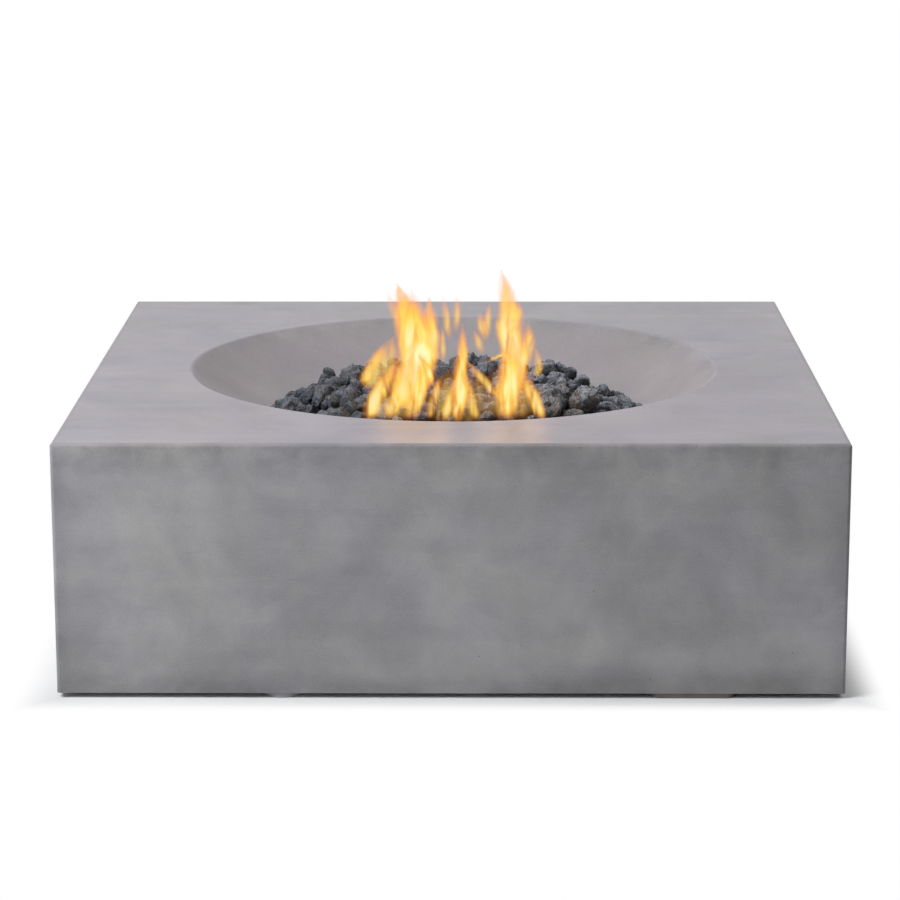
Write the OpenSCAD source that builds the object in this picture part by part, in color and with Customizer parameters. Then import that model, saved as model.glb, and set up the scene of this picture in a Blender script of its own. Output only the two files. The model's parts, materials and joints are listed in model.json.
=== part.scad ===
// Square cast-concrete fire pit table: a one-piece block with a round dished bowl, a gas burner under
// lava rock, and its controls, gas inlet and service door in the rear face.
// Millimetres, +Z up, the front face towards -Y, the origin on the floor under the block's centre.

/* [Concrete block] */
// Width and depth of the block
body_w = 1067; // [980:1:1250]
// Height of the block without its feet
body_h = 346; // [320:1:420]
// Thickness of the four walls
wall_t = 24; // [18:1:32]
// Thickness of the deck
deck_t = 26; // [18:1:34]
// Rounding of the outer edges
edge_r = 5; // [2:0.5:9]

/* [Bowl] */
// Radius of the bowl at the deck
bowl_r = 392; // [360:1:430]
// Depth that the bowl's sphere would reach at its centre
bowl_depth = 160; // [140:1:175]
// Concrete thickness under the bowl
bowl_t = 24; // [18:1:30]
// Rounding of the bowl's rim
rim_r = 8; // [3:0.5:14]

/* [Feet and base rails] */
// Height of the feet
foot_h = 7; // [5:0.5:14]
// Radius of the round feet
glide_r = 32.5; // [26:0.5:40]
// Distance of the round feet from the centre line
glide_x = 228; // [160:1:300]
// Length of the pad feet
pad_l = 117; // [90:1:150]
// Depth of the pad feet
pad_w = 60; // [50:1:70]
// Corner radius of the pad feet
pad_corner_r = 14; // [6:1:20]
// Distance of the pad feet from the centre line
pad_x = 327; // [260:1:380]
// Distance of the pad foot's screws from its middle
pad_screw_x = 38; // [20:1:42]
// Set-back of the feet from the face above them
foot_inset = 1; // [0.5:0.5:6]
// Width of the rails' level leg
rail_w = 60; // [50:1:80]
// Height of the rails' upright leg
rail_h = 50; // [40:1:56]
// Thickness of the rails
rail_t = 4; // [3:0.5:6]
// Distance between the bolts of a rail
rail_bolt_pitch = 330; // [200:1:380]
// Radius of the rail bolts
rail_bolt_r = 4; // [3:0.5:5]
// Depth of the rail bolts in the wall
rail_bolt_depth = 14; // [10:1:15]
// Radius of the foot screws
foot_screw_r = 3; // [2:0.5:4]

/* [Burner] */
// Outer radius of the burner pan's wall
pan_r = 246; // [225:1:256]
// Depth of the burner pan
pan_depth = 50; // [46:1:64]
// Width of the pan's flange
flange_w = 22; // [16:1:26]
// Thickness of the stainless sheet
sheet_t = 2; // [1.5:0.1:3]
// Clearance round the pan in the concrete
pan_gap = 2; // [1:0.5:4]
// Outer radius of the burner tube
ring_tube_r = 9.5; // [8:0.5:11]
// Wall of the burner tube
ring_wall = 1.5; // [1:0.1:2]
// Height of the ring's centre line over the pan floor
ring_lift = 22; // [20:0.5:26]
// Radius of the flame ports
port_r = 1.6; // [1:0.1:2]
// Number of flame ports
port_count = 24; // [12:1:36]
// Outer radius of the gas riser
riser_r = 10.5; // [9:0.5:12]
// Outer radius of the air mixer
mixer_r = 15; // [14.5:0.5:17]
// Length of the air mixer
mixer_l = 52; // [48:1:60]
// Radius of the air holes
air_hole_r = 4.5; // [3:0.5:5]
// Radius of the circle on which the igniter and the thermocouple stand, round the burner ring
sensor_circle_r = 176; // [150:1:205]
// Clearance between that circle and the burner tube
sensor_gap = 16.5; // [15:0.5:30]

/* [Gas supply] */
// Outer radius of the flexible gas hose
hose_r = 7.5; // [6:0.5:9]
// Wall of the gas hose
hose_wall = 1.5; // [1:0.1:2]
// Bend radius of the gas hose
hose_bend = 130; // [80:1:140]
// Width and depth of the valve block
valve_w = 46; // [40:1:50]
// Radius of the valve's rotor
rotor_r = 9; // [8:0.5:10]
// Radius of the valve's stem
stem_r = 4; // [3:0.5:5]
// Radius of the threaded gas inlet
inlet_r = 9; // [8:0.5:9.5]
// Depth of the threaded gas inlet
inlet_depth = 20; // [14:1:22]

/* [Rear controls] */
// Distance of the control recess from the centre line
box_x = 300; // [280:1:330]
// Inner width of the control recess
box_w = 200; // [190:1:230]
// Inner height of the control recess
box_h = 104; // [96:1:112]
// Depth of the control recess
box_depth = 46; // [46:1:54]
// Width of the recess's flange
box_flange_w = 14; // [12:1:18]
// Clearance of a steel box in its concrete opening
box_gap = 1.5; // [1:0.5:3]
// Radius of the control knob
knob_r = 22; // [18:0.5:24]
// Length of the control knob
knob_l = 24; // [18:1:24]
// Push-in travel of the control knob
knob_push = 4; // [2:0.5:5]
// Radius of the igniter's button
button_r = 6.5; // [5:0.5:7]
// Travel of the igniter's button
button_push = 4; // [3:0.5:5]
// Radius of the countersunk screws
screw_r = 2; // [1.5:0.1:2.2]

/* [Service door] */
// Width of the door
door_w = 330; // [260:1:345]
// Height of the door
door_h = 170; // [140:1:180]
// Distance of the door's middle from the centre line
door_x = -165; // [-200:1:-160]
// Height of the door's lower edge over the block's bottom
door_lift = 66; // [62:1:80]
// Depth of the door's folded edge
door_t = 12; // [11:0.5:14]
// Gap round the door
door_gap = 1.5; // [1:0.1:3]
// Width of the door frame's flange
frame_flange_w = 14; // [12:1:18]
// Outer radius of the hinge barrel
barrel_r = 5; // [4:0.5:6]
// Radius of the hinge pin
pin_r = 2.5; // [2:0.1:3]
// Width of the finger slot
finger_w = 24; // [20:1:30]
// Height of the finger slot
finger_h = 60; // [50:1:80]

/* [Lava rock] */
// Radius of the sphere that each stone fills
stone_r = 22; // [18:0.5:25]
// Reach of the lower layer's stone centres
lower_reach = 252; // [220:1:258]
// Reach of the upper layer's stone centres
upper_reach = 205; // [120:1:215]
// Share of the upper layer's places that hold a stone
upper_share = 0.88; // [0.5:0.01:1]
// Turn of the heap about its middle, in degrees
heap_turn = 13; // [0:1:60]

/* [Hidden] */
$fn = 96;

// Clearances: fixed fits, running fits, and pieces that only rest on each other
fit_gap = 0.1;
run_gap = 0.05;
rest_gap = 0.2;
// Overshoot of a cut past the face that it leaves through
over = 1;

// The block and its bowl
half_w = body_w / 2;
inner_half = half_w - wall_t;
top_z = foot_h + body_h;
deck_under_z = top_z - deck_t;
bowl_sphere_r = (bowl_r * bowl_r + bowl_depth * bowl_depth) / (2 * bowl_depth);
bowl_centre_z = top_z - bowl_depth + bowl_sphere_r;
function bowl_z(r) = bowl_centre_z - sqrt(bowl_sphere_r * bowl_sphere_r - r * r);

// The rim's rounding touches the deck and the bowl's sphere
rim_centre_z = top_z - rim_r;
rim_centre_r = sqrt(pow(bowl_sphere_r + rim_r, 2) - pow(bowl_centre_z - rim_centre_z, 2));
rim_dir = [rim_centre_r, rim_centre_z - bowl_centre_z] / (bowl_sphere_r + rim_r);

// The burner pan hangs by its flange on a seat in the bowl
seat_r = pan_r + flange_w + pan_gap;
seat_z = bowl_z(seat_r) - sheet_t;
flange_top_z = seat_z + sheet_t;
pan_floor_z = flange_top_z - pan_depth;
pan_floor_top = pan_floor_z + sheet_t;
grate_t = 2;
grate_r = pan_r + flange_w * 0.6;
grate_top_z = flange_top_z + grate_t;
ring_z = pan_floor_top + ring_lift;
ring_r = sensor_circle_r - sensor_gap - ring_tube_r;

// The gas train under the pan
nut_h = 7;
nut_af = 30;
hub_r = 17;
hub_h = 24;
riser_wall = 3;
hub_cap_t = 2;
riser_top = ring_z - hub_cap_t;
mixer_drop = 2;
mixer_top = pan_floor_z - nut_h - mixer_drop;
mixer_bottom = mixer_top - mixer_l;
riser_thread = 14;
riser_bottom = mixer_top - riser_thread;
mixer_wall = 2.5;
mixer_base_t = 6;
orifice_r = 5;
orifice_jet_r = 0.8;
orifice_seat = 8;
orifice_l = 20;
elbow_bore_r = 4;
elbow_arm_r = 12;
air_drop = 12;
air_z = riser_bottom - air_drop;
air_hole_count = 4;
shutter_land = 4;
shutter_h = 2 * (air_hole_r + shutter_land);
shutter_t = 2.5;
collar_h = 3;
elbow_r = 14;
elbow_reach = 34;
hose_z = mixer_bottom - elbow_r;

// The control recess in the rear wall, and what stands on its floor plate
plate_back_y = half_w - box_depth;
plate_front_y = plate_back_y + sheet_t;
box_rise = 22;
box_z = hose_z + box_rise;
port_y = plate_back_y - valve_w / 2;
valve_shift = 58;
valve_x = box_x - valve_shift;
stem_rise = 32;
stem_z = hose_z + stem_rise;
valve_under = 16;
valve_over = 18;
valve_h = valve_under + stem_rise + valve_over;
passage_r = 2.5;
passage_x = 6;
port_web = 3;
rotor_port_y = 6;
cap_t = 4;
lock_nut_h = 6;
spigot_l = 12;
spigot_r = 8;
port_bore_r = 5;
valve_left = valve_x - valve_w / 2 - spigot_l;
valve_right = valve_x + valve_w / 2 + spigot_l;
valve_neck_r = 10;
valve_neck_l = 9;
rotor_wall = 6;
rotor_front = plate_back_y - rotor_wall;
rotor_back = plate_back_y - valve_w + rotor_wall;
socket_room = 2;
stem_flat = stem_r * 0.75;
stem_depth = 14;
knob_clear = 1;
knob_back_y = plate_front_y + valve_neck_l + knob_push + knob_clear;
knob_socket = 16;
ign_shift = 6;
ign_x = box_x + ign_shift;
ign_rise = 42;
ign_z = hose_z + ign_rise;
ign_r = 11;
ign_l = 60;
ign_neck_r = 9;
ign_neck_l = 10;
ign_nut_af = 26;
button_out = 8;
button_in = 10;
button_step = 1;
mark_w = 3;
mark_depth = 1.5;
inlet_shift = 62;
inlet_x = box_x + inlet_shift;
inlet_out = 26;
inlet_neck_r = 10.5;
inlet_neck_l = 10;
elbow_block = 28;
pipe_r = 6;
pipe_bore_r = 4.5;
hose_nut_af = 22;
hose_nut_l = 18;

// Steel boxes set into the rear wall
box_outer = [box_w + 2 * sheet_t, box_h + 2 * sheet_t];
box_flange = box_outer + 2 * [box_flange_w, box_flange_w];
screw_head_r = 2 * screw_r;
screw_l = 18;

// The service door and its frame
door_z = foot_h + door_lift + door_h / 2;
door_open = [door_w + 2 * door_gap, door_h + 2 * door_gap];
frame_outer = door_open + 2 * [sheet_t, sheet_t];
frame_flange = frame_outer + 2 * [frame_flange_w, frame_flange_w];
door_inset = 0.3;
door_face_y = half_w - door_inset;
hinge_x = door_x - door_w / 2 + barrel_r;
hinge_y = half_w - barrel_r;
door_free_x = door_x + door_w / 2;
door_back_y = door_face_y - door_t;
strike_w = 16;
strike_h = 36;
magnet_w = 20;
magnet_d = 10;
magnet_h = 40;
finger_inset = 42;

// Sensors beside the burner ring, and their leads
electrode_angle = 40;
probe_angle = 65;
electrode_at = sensor_circle_r * [cos(electrode_angle), sin(electrode_angle)];
probe_at = sensor_circle_r * [cos(probe_angle), sin(probe_angle)];
insulator_r = 4;
insulator_drop = 14;
insulator_bottom = pan_floor_z - insulator_drop;
insulator_rise = 2;
insulator_top = ring_z + insulator_rise;
bracket_w = 20;
bracket_h = 10;
electrode_r = 1.2;
electrode_rise = 5;
electrode_bend = 4;
electrode_over = 2;
electrode_reach = sensor_gap + electrode_over;
probe_r = 3;
probe_drop = 16;
probe_bottom = pan_floor_z - probe_drop;
probe_below = 1;
probe_top = ring_z + ring_tube_r - probe_below;
probe_nut_h = 4;
probe_nut_af = 11;
lead_r = 1.4;
lead_steps = 22;
lead_sides = 8;
lead_sag = 70;

// Stones lie in two close-packed layers, each in its own sphere
touch_r = stone_r - rest_gap / 2;
layer_rise = stone_r * 2 * sqrt(2 / 3);
lower_z = grate_top_z + rest_gap + touch_r * sqrt(2 / 3);
upper_z = lower_z + layer_rise;
layer_shift = 2 * stone_r / sqrt(3) * [cos(30), sin(30)];

module along_x() rotate([0, 90, 0]) children();
module along_y() rotate([-90, 0, 0]) children();

// A pipe with its bore, from z = 0 up
module pipe(r_out, r_in, h) {
    linear_extrude(h) difference() {
        circle(r_out);
        circle(r_in);
    }
}

// A hexagon nut with its bore, from z = 0 up
module hex_nut(flats, bore_r, h) {
    difference() {
        cylinder(d = flats / cos(30), h = h, $fn = 6);
        translate([0, 0, -over]) cylinder(r = bore_r, h = h + 2 * over);
    }
}

// A box with its middle at the given place in the rear wall, from y0 to y1
module wall_block(size, x, z, y0, y1) {
    translate([x, (y0 + y1) / 2, z]) cube([size[0], y1 - y0, size[1]], center = true);
}

// Places of the four corner screws of a flange
function corner_places(size, inset) = [for (sx = [-1, 1], sz = [-1, 1])
    [sx * (size[0] / 2 - inset), sz * (size[1] / 2 - inset)]];

// A countersunk screw driven towards -Y, its head flush with the rear face
module face_screw(grow) {
    translate([0, half_w, 0]) rotate([90, 0, 0]) {
        cylinder(r1 = screw_head_r + grow, r2 = screw_r + grow, h = screw_r);
        cylinder(r = screw_r + grow, h = screw_l + grow);
    }
}

module flange_screws(size, flange_width, x, z, grow = 0) {
    for (p = corner_places(size, flange_width / 2))
        translate([x + p[0], 0, z + p[1]]) face_screw(grow);
}

// A steel box let into the rear wall: the hole for it, with the rebate for its flange
module wall_opening(outer, flange, x, z) {
    gap = 2 * [box_gap, box_gap];
    wall_block(outer + gap, x, z, inner_half - over, half_w + over);
    wall_block(flange + gap, x, z, half_w - sheet_t, half_w + over);
}

// Concrete block

module edge_waste() {
    rotate([90, 0, 90]) linear_extrude(body_w + 2 * over, center = true)
        translate([half_w - edge_r, top_z - edge_r]) difference() {
            square(edge_r + over);
            circle(edge_r);
        }
}

module rim_waste() {
    centre = [rim_centre_r, rim_centre_z];
    reach = 1.5 * rim_r;
    rotate_extrude() difference() {
        polygon([centre, centre - rim_dir * reach, centre + [-reach, reach], centre + [0, reach]]);
        translate(centre) circle(rim_r);
    }
}

module cavity() {
    difference() {
        translate([-inner_half, -inner_half, foot_h - over])
            cube([2 * inner_half, 2 * inner_half, deck_under_z - foot_h + over]);
        translate([0, 0, bowl_centre_z]) sphere(bowl_sphere_r + bowl_t);
    }
}

module concrete_body() color("#9d9b9d") difference() {
    translate([0, 0, foot_h]) linear_extrude(body_h) {
        square([body_w, body_w - 2 * edge_r], center = true);
        square([body_w - 2 * edge_r, body_w], center = true);
        for (x = [-1, 1], y = [-1, 1])
            translate([x, y] * (half_w - edge_r)) circle(edge_r);
    }
    for (a = [0 : 90 : 270]) rotate(a) edge_waste();
    cavity();
    translate([0, 0, bowl_centre_z]) sphere(bowl_sphere_r);
    rim_waste();
    translate([0, 0, seat_z]) cylinder(r = seat_r, h = bowl_depth);
    translate([0, 0, foot_h]) cylinder(r = pan_r + pan_gap, h = body_h);
    wall_opening(box_outer, box_flange, box_x, box_z);
    wall_opening(frame_outer, frame_flange, door_x, door_z);
    flange_screws(box_flange, box_flange_w, box_x, box_z, fit_gap);
    flange_screws(frame_flange, frame_flange_w, door_x, door_z, fit_gap);
    all_rail_bolts(fit_gap);
}

// Base rails, their bolts and the feet

rail_bolt_z = foot_h + rail_h * 0.6;
foot_screw_back = 11;
foot_screw_y = inner_half - rail_t - foot_screw_back;
foot_screw_places = [-glide_x, pad_x - pad_screw_x, pad_x + pad_screw_x];
bolt_head_af = 13;
bolt_head_h = 5.5;
foot_screw_end = 5;
foot_screw_sink = 1;

// A bolt through the front rail's upright leg, with its head inside
module rail_bolt(grow) {
    translate([0, -inner_half + rail_t, rail_bolt_z]) {
        along_y() cylinder(d = bolt_head_af / cos(30), h = bolt_head_h, $fn = 6);
        rotate([90, 0, 0]) cylinder(r = rail_bolt_r + grow, h = rail_t + rail_bolt_depth + grow);
    }
}

module all_rail_bolts(grow = 0) {
    for (a = [0 : 90 : 270], i = [-1 : 1])
        rotate(a) translate([i * rail_bolt_pitch, 0, 0]) rail_bolt(grow);
}

// An angle rail along the front wall, its level leg flush with the wall's bottom edge
module rail(length) {
    difference() {
        translate([-length / 2, -inner_half, foot_h]) union() {
            cube([length, rail_t, rail_h]);
            cube([length, rail_w, rail_t]);
        }
        for (i = [-1 : 1])
            translate([i * rail_bolt_pitch, -inner_half - over, rail_bolt_z]) along_y()
                cylinder(r = rail_bolt_r + fit_gap, h = rail_t + 2 * over);
    }
}

module footed_rail() {
    difference() {
        rail(2 * inner_half);
        for (x = foot_screw_places)
            translate([x, -foot_screw_y, foot_h - over])
                cylinder(r = foot_screw_r + fit_gap, h = rail_t + 2 * over);
    }
}

module front_rail() color("#3c3e42") footed_rail();
module rear_rail() color("#3c3e42") rotate(180) footed_rail();
module left_rail() color("#3c3e42") rotate(270) rail(2 * (inner_half - rail_w));
module right_rail() color("#3c3e42") rotate(90) rail(2 * (inner_half - rail_w));
module rail_bolts() color("#b4b8bd") all_rail_bolts();

module foot_screw(grow) {
    cylinder(r1 = 2 * foot_screw_r + grow, r2 = foot_screw_r + grow, h = foot_screw_r);
    cylinder(r = foot_screw_r + grow, h = foot_h + rail_t + foot_screw_end);
}

// Screws of one rail, their heads sunk in the feet
module rail_foot_screws(grow = 0) {
    for (x = foot_screw_places)
        translate([x, -foot_screw_y, foot_screw_sink]) foot_screw(grow);
    if (grow > 0)
        for (x = foot_screw_places)
            translate([x, -foot_screw_y, -over])
                cylinder(r = 2 * foot_screw_r + grow, h = foot_screw_sink + over);
}

module round_feet() color("#97989b") for (a = [0, 180]) rotate(a) difference() {
    translate([-glide_x, -half_w + foot_inset + glide_r, 0]) cylinder(r = glide_r, h = foot_h);
    rail_foot_screws(fit_gap);
}

module pad_feet() color("#6f675f") for (a = [0, 180]) rotate(a) difference() {
    translate([pad_x, -half_w + foot_inset + pad_w / 2, 0]) linear_extrude(foot_h) {
        square([pad_l, pad_w - 2 * pad_corner_r], center = true);
        square([pad_l - 2 * pad_corner_r, pad_w], center = true);
        for (x = [-1, 1], y = [-1, 1])
            translate([x * (pad_l / 2 - pad_corner_r), y * (pad_w / 2 - pad_corner_r)]) circle(pad_corner_r);
    }
    rail_foot_screws(fit_gap);
}

module foot_screws() color("#b4b8bd") for (a = [0, 180]) rotate(a) rail_foot_screws();

// Burner

module burner_pan() color("#a9adb2") difference() {
    union() {
        translate([0, 0, seat_z]) cylinder(r = pan_r + flange_w, h = sheet_t);
        translate([0, 0, pan_floor_z]) cylinder(r = pan_r, h = pan_depth);
    }
    translate([0, 0, pan_floor_top]) cylinder(r = pan_r - sheet_t, h = pan_depth);
    translate([0, 0, pan_floor_z - over]) {
        cylinder(r = riser_r + fit_gap, h = pan_depth);
        translate(electrode_at) cylinder(r = insulator_r + fit_gap, h = pan_depth);
        translate(probe_at) cylinder(r = probe_r + fit_gap, h = pan_depth);
    }
}

// A perforated plate on the pan's flange that keeps the stones off the burner
module rock_grate() color("#8d9196") translate([0, 0, flange_top_z]) linear_extrude(grate_t) {
    hole_pitch = pan_r / 6;
    difference() {
        circle(grate_r);
        for (ring = [1 : 5], i = [0 : 6 * ring - 1])
            rotate(i * 60 / ring) translate([ring * hole_pitch, 0]) circle(hole_pitch * 0.28);
    }
}

// The welded ring with its cross tubes and hub
module burner_ring() color("#b3b6ba") difference() {
    union() {
        ring_and_cross(0);
        translate([0, 0, ring_z - hub_h / 2]) cylinder(r = hub_r, h = hub_h);
    }
    ring_and_cross(ring_wall);
    for (i = [0 : port_count - 1])
        rotate((i + 0.5) * 360 / port_count) translate([ring_r, 0, ring_z])
            cylinder(r = port_r, h = ring_tube_r + over);
    translate([0, 0, riser_top - hub_h]) cylinder(r = riser_r + fit_gap, h = hub_h);
}

// The ring and its cross tubes, or the bores inside them; the ring closes midway between two cross tubes
module ring_and_cross(inset) {
    translate([0, 0, ring_z]) {
        rotate(45) rotate_extrude() translate([ring_r, 0]) circle(ring_tube_r - inset);
        for (a = [0, 90])
            rotate(a) along_x() cylinder(r = ring_tube_r - 1 - inset, h = 2 * ring_r, center = true);
    }
}

module gas_riser() color("#7e8286") translate([0, 0, riser_bottom])
    pipe(riser_r, riser_r - riser_wall, riser_top - riser_bottom);

module riser_nuts() color("#b08d4a") {
    translate([0, 0, pan_floor_top]) hex_nut(nut_af, riser_r + fit_gap, nut_h);
    translate([0, 0, pan_floor_z - nut_h]) hex_nut(nut_af, riser_r + fit_gap, nut_h);
}

// Air holes round the mixer, wide open while the shutter is at rest
module air_holes(reach) {
    for (i = [0 : air_hole_count - 1])
        translate([0, 0, air_z]) rotate(i * 360 / air_hole_count) along_x()
            cylinder(r = air_hole_r, h = reach);
}

module air_mixer() color("#b08d4a") difference() {
    union() {
        translate([0, 0, mixer_bottom]) cylinder(r = mixer_r, h = mixer_l);
        translate([0, 0, air_z - shutter_h / 2 - rest_gap - collar_h])
            cylinder(r = mixer_r + shutter_t, h = collar_h);
    }
    translate([0, 0, mixer_bottom + mixer_base_t])
        cylinder(r = mixer_r - mixer_wall, h = riser_bottom - mixer_bottom - mixer_base_t);
    translate([0, 0, riser_bottom]) cylinder(r = riser_r + fit_gap, h = mixer_l);
    translate([0, 0, mixer_bottom - over]) cylinder(r = orifice_r + fit_gap, h = mixer_l / 2);
    air_holes(2 * mixer_r);
}

module air_shutter() color("#8d9196") difference() {
    translate([0, 0, air_z - shutter_h / 2])
        pipe(mixer_r + run_gap + shutter_t, mixer_r + run_gap, shutter_h);
    air_holes(2 * mixer_r);
}

module gas_orifice() color("#c9a75a") translate([0, 0, mixer_bottom - orifice_seat])
    pipe(orifice_r, orifice_jet_r, orifice_l);

module supply_elbow() color("#b08d4a") difference() {
    translate([0, 0, hose_z]) {
        cylinder(r = elbow_r, h = elbow_r);
        sphere(elbow_r);
        along_y() cylinder(r = elbow_arm_r, h = elbow_reach);
    }
    translate([0, 0, mixer_bottom - orifice_seat])
        cylinder(r = orifice_r + fit_gap, h = orifice_seat + over);
    translate([0, 0, hose_z]) {
        along_y() cylinder(r = hose_r - hose_wall, h = elbow_reach + over);
        cylinder(r = elbow_bore_r, h = elbow_r);
    }
}

// The flexible hose runs back from the burner, bends once and meets the valve from the side
module gas_hose() color("#a4a7aa") {
    bore = hose_r - hose_wall;
    translate([0, elbow_reach, hose_z]) along_y() pipe(hose_r, bore, port_y - hose_bend - elbow_reach);
    translate([hose_bend, port_y - hose_bend, hose_z]) rotate(90) rotate_extrude(angle = 90)
        translate([hose_bend, 0]) difference() {
            circle(hose_r);
            circle(bore);
        }
    translate([hose_bend, port_y, hose_z]) along_x() pipe(hose_r, bore, valve_left - hose_bend);
}

module hose_nuts() color("#b08d4a") {
    translate([0, elbow_reach, hose_z]) along_y() hex_nut(hose_nut_af, hose_r + fit_gap, hose_nut_l);
    translate([valve_left - hose_nut_l, port_y, hose_z]) along_x()
        hex_nut(hose_nut_af, hose_r + fit_gap, hose_nut_l);
}

// Valve and control knob

// The stem's D section along +Y, with its flat towards +Z
module d_bar(grow, length) {
    along_y() linear_extrude(length) difference() {
        circle(stem_r + grow);
        translate([-2 * stem_r, -3 * stem_r - stem_flat - grow]) square([4 * stem_r, 3 * stem_r]);
    }
}

module gas_valve() color("#b89a56") difference() {
    union() {
        translate([valve_x - valve_w / 2, plate_back_y - valve_w, hose_z - valve_under])
            cube([valve_w, valve_w, valve_h]);
        translate([valve_left, port_y, hose_z]) along_x()
            cylinder(r = spigot_r, h = valve_right - valve_left);
        translate([valve_x, plate_back_y - over, stem_z]) along_y()
            cylinder(r = valve_neck_r, h = over + sheet_t + valve_neck_l);
    }
    for (side = [-1, 1]) {
        translate([valve_x + side * port_web, port_y, hose_z]) rotate([0, side * 90, 0])
            cylinder(r = port_bore_r, h = valve_right - valve_x);
        translate([valve_x + side * passage_x, port_y, hose_z]) cylinder(r = passage_r, h = stem_rise);
    }
    translate([valve_x, plate_back_y - valve_w - over, stem_z]) along_y()
        cylinder(r = rotor_r + run_gap, h = rotor_front - plate_back_y + valve_w + over);
    translate([valve_x, rotor_front - over, stem_z]) along_y()
        cylinder(r = stem_r + rest_gap, h = plate_front_y + valve_neck_l - rotor_front + 2 * over);
}

module valve_cap() color("#c9a75a") translate([valve_x, plate_back_y - valve_w - cap_t, stem_z]) along_y() {
    cylinder(d = nut_af / cos(30), h = cap_t, $fn = 6);
    cylinder(r = rotor_r - fit_gap, h = cap_t + rotor_wall - rest_gap);
}

module valve_nut() color("#b4b8bd") translate([valve_x, plate_front_y, stem_z]) along_y()
    hex_nut(nut_af, valve_neck_r + fit_gap, lock_nut_h);

module valve_rotor() color("#c9a75a") difference() {
    translate([valve_x, rotor_back, stem_z]) along_y()
        cylinder(r = rotor_r, h = rotor_front - rotor_back - rest_gap);
    translate([valve_x, rotor_front - stem_depth - knob_push - socket_room, stem_z])
        d_bar(run_gap, stem_depth + knob_push + 2 * socket_room);
    translate([valve_x - 2 * rotor_r, port_y - rotor_port_y, stem_z]) along_x()
        cylinder(r = passage_r, h = 4 * rotor_r);
}

module valve_stem() color("#b4b8bd") translate([valve_x, rotor_front - stem_depth, stem_z])
    d_bar(0, knob_back_y + knob_socket - rotor_front + stem_depth);

// A skirted knob with a grip bar across it
module control_knob() color("#1f2022") difference() {
    translate([valve_x, knob_back_y, stem_z]) along_y() {
        cylinder(r = knob_r, h = knob_l / 4);
        cylinder(r = knob_r * 0.8, h = knob_l * 0.6);
        intersection() {
            cylinder(r = knob_r * 0.95, h = knob_l);
            translate([-knob_r * 0.25, -knob_r, 0]) cube([knob_r * 0.5, 2 * knob_r, knob_l]);
        }
    }
    translate([valve_x, knob_back_y - over, stem_z]) d_bar(fit_gap, knob_socket + over);
    knob_mark(fit_gap);
}

// A pale bar let into the upper end of the knob's grip
module knob_mark(grow) {
    place = [valve_x - mark_w / 2, knob_back_y + knob_l - mark_depth, stem_z + knob_r * 0.3];
    translate(place - [grow, grow, grow])
        cube([mark_w + 2 * grow, mark_depth + grow + (grow > 0 ? over : 0), knob_r * 0.5 + 2 * grow]);
}

module knob_pointer() color("#e8e6e0") knob_mark(0);

// Control recess

// A hole in the recess's floor plate for the neck of what is clamped to it
module plate_hole(x, z, neck_r) {
    translate([x, plate_back_y - over, z]) along_y() cylinder(r = neck_r + fit_gap, h = box_depth);
}

module control_box() color("#b7babd") difference() {
    union() {
        wall_block(box_flange, box_x, box_z, half_w - sheet_t, half_w);
        wall_block(box_outer, box_x, box_z, plate_back_y, half_w);
    }
    wall_block([box_w, box_h], box_x, box_z, plate_front_y, half_w + over);
    plate_hole(valve_x, stem_z, valve_neck_r);
    plate_hole(ign_x, ign_z, ign_neck_r);
    plate_hole(inlet_x, hose_z, inlet_neck_r);
    flange_screws(box_flange, box_flange_w, box_x, box_z, fit_gap);
}

module control_box_screws() color("#8d9196") flange_screws(box_flange, box_flange_w, box_x, box_z);

// Igniter

module igniter_module() color("#26282b") difference() {
    translate([ign_x, plate_back_y - ign_l, ign_z]) along_y() {
        cylinder(r = ign_r, h = ign_l);
        cylinder(r = ign_neck_r, h = ign_l + sheet_t + ign_neck_l);
    }
    translate([ign_x, plate_front_y + ign_neck_l - button_in - button_push - button_step, ign_z])
        along_y() cylinder(r = button_r + run_gap, h = button_in + button_push + button_step + 2 * over);
}

module igniter_nut() color("#b4b8bd") translate([ign_x, plate_front_y, ign_z]) along_y()
    hex_nut(ign_nut_af, ign_neck_r + fit_gap, lock_nut_h);

module igniter_button() color("#a82a22")
    translate([ign_x, plate_front_y + ign_neck_l - button_in, ign_z]) along_y() {
        cylinder(r = button_r, h = button_in + button_out - button_step);
        cylinder(r = button_r - button_step, h = button_in + button_out);
    }

module electrode_insulator() color("#efece4") translate([electrode_at[0], electrode_at[1], insulator_bottom])
    pipe(insulator_r, electrode_r + fit_gap, insulator_top - insulator_bottom);

// The wire runs up through the insulator, then bends towards the burner ring
module spark_electrode() color("#6f7276") translate(electrode_at) rotate(electrode_angle) {
    bend_z = insulator_top + electrode_rise;
    translate([0, 0, insulator_bottom]) cylinder(r = electrode_r, h = bend_z - insulator_bottom);
    translate([-electrode_bend, 0, bend_z]) {
        rotate([90, 0, 0]) rotate_extrude(angle = 90) translate([electrode_bend, 0]) circle(electrode_r);
        translate([0, 0, electrode_bend]) rotate([0, -90, 0])
            cylinder(r = electrode_r, h = electrode_reach - electrode_bend);
    }
}

// A collar on the pan floor holds the insulator
module electrode_bracket() color("#a9adb2") translate([electrode_at[0], electrode_at[1], pan_floor_top])
    linear_extrude(bracket_h) difference() {
        square(bracket_w, center = true);
        circle(insulator_r + fit_gap);
    }

module thermocouple() color("#8f8a80") translate([probe_at[0], probe_at[1], probe_bottom]) {
    cylinder(r = probe_r, h = probe_top - probe_bottom - probe_r);
    translate([0, 0, probe_top - probe_bottom - probe_r]) sphere(probe_r);
}

module thermocouple_nuts() color("#b08d4a") translate([probe_at[0], probe_at[1], 0])
    for (z = [pan_floor_top, pan_floor_z - probe_nut_h])
        translate([0, 0, z]) hex_nut(probe_nut_af, probe_r + fit_gap, probe_nut_h);

// Leads are tubes swept along a smooth curve from a sensor to what it serves

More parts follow.
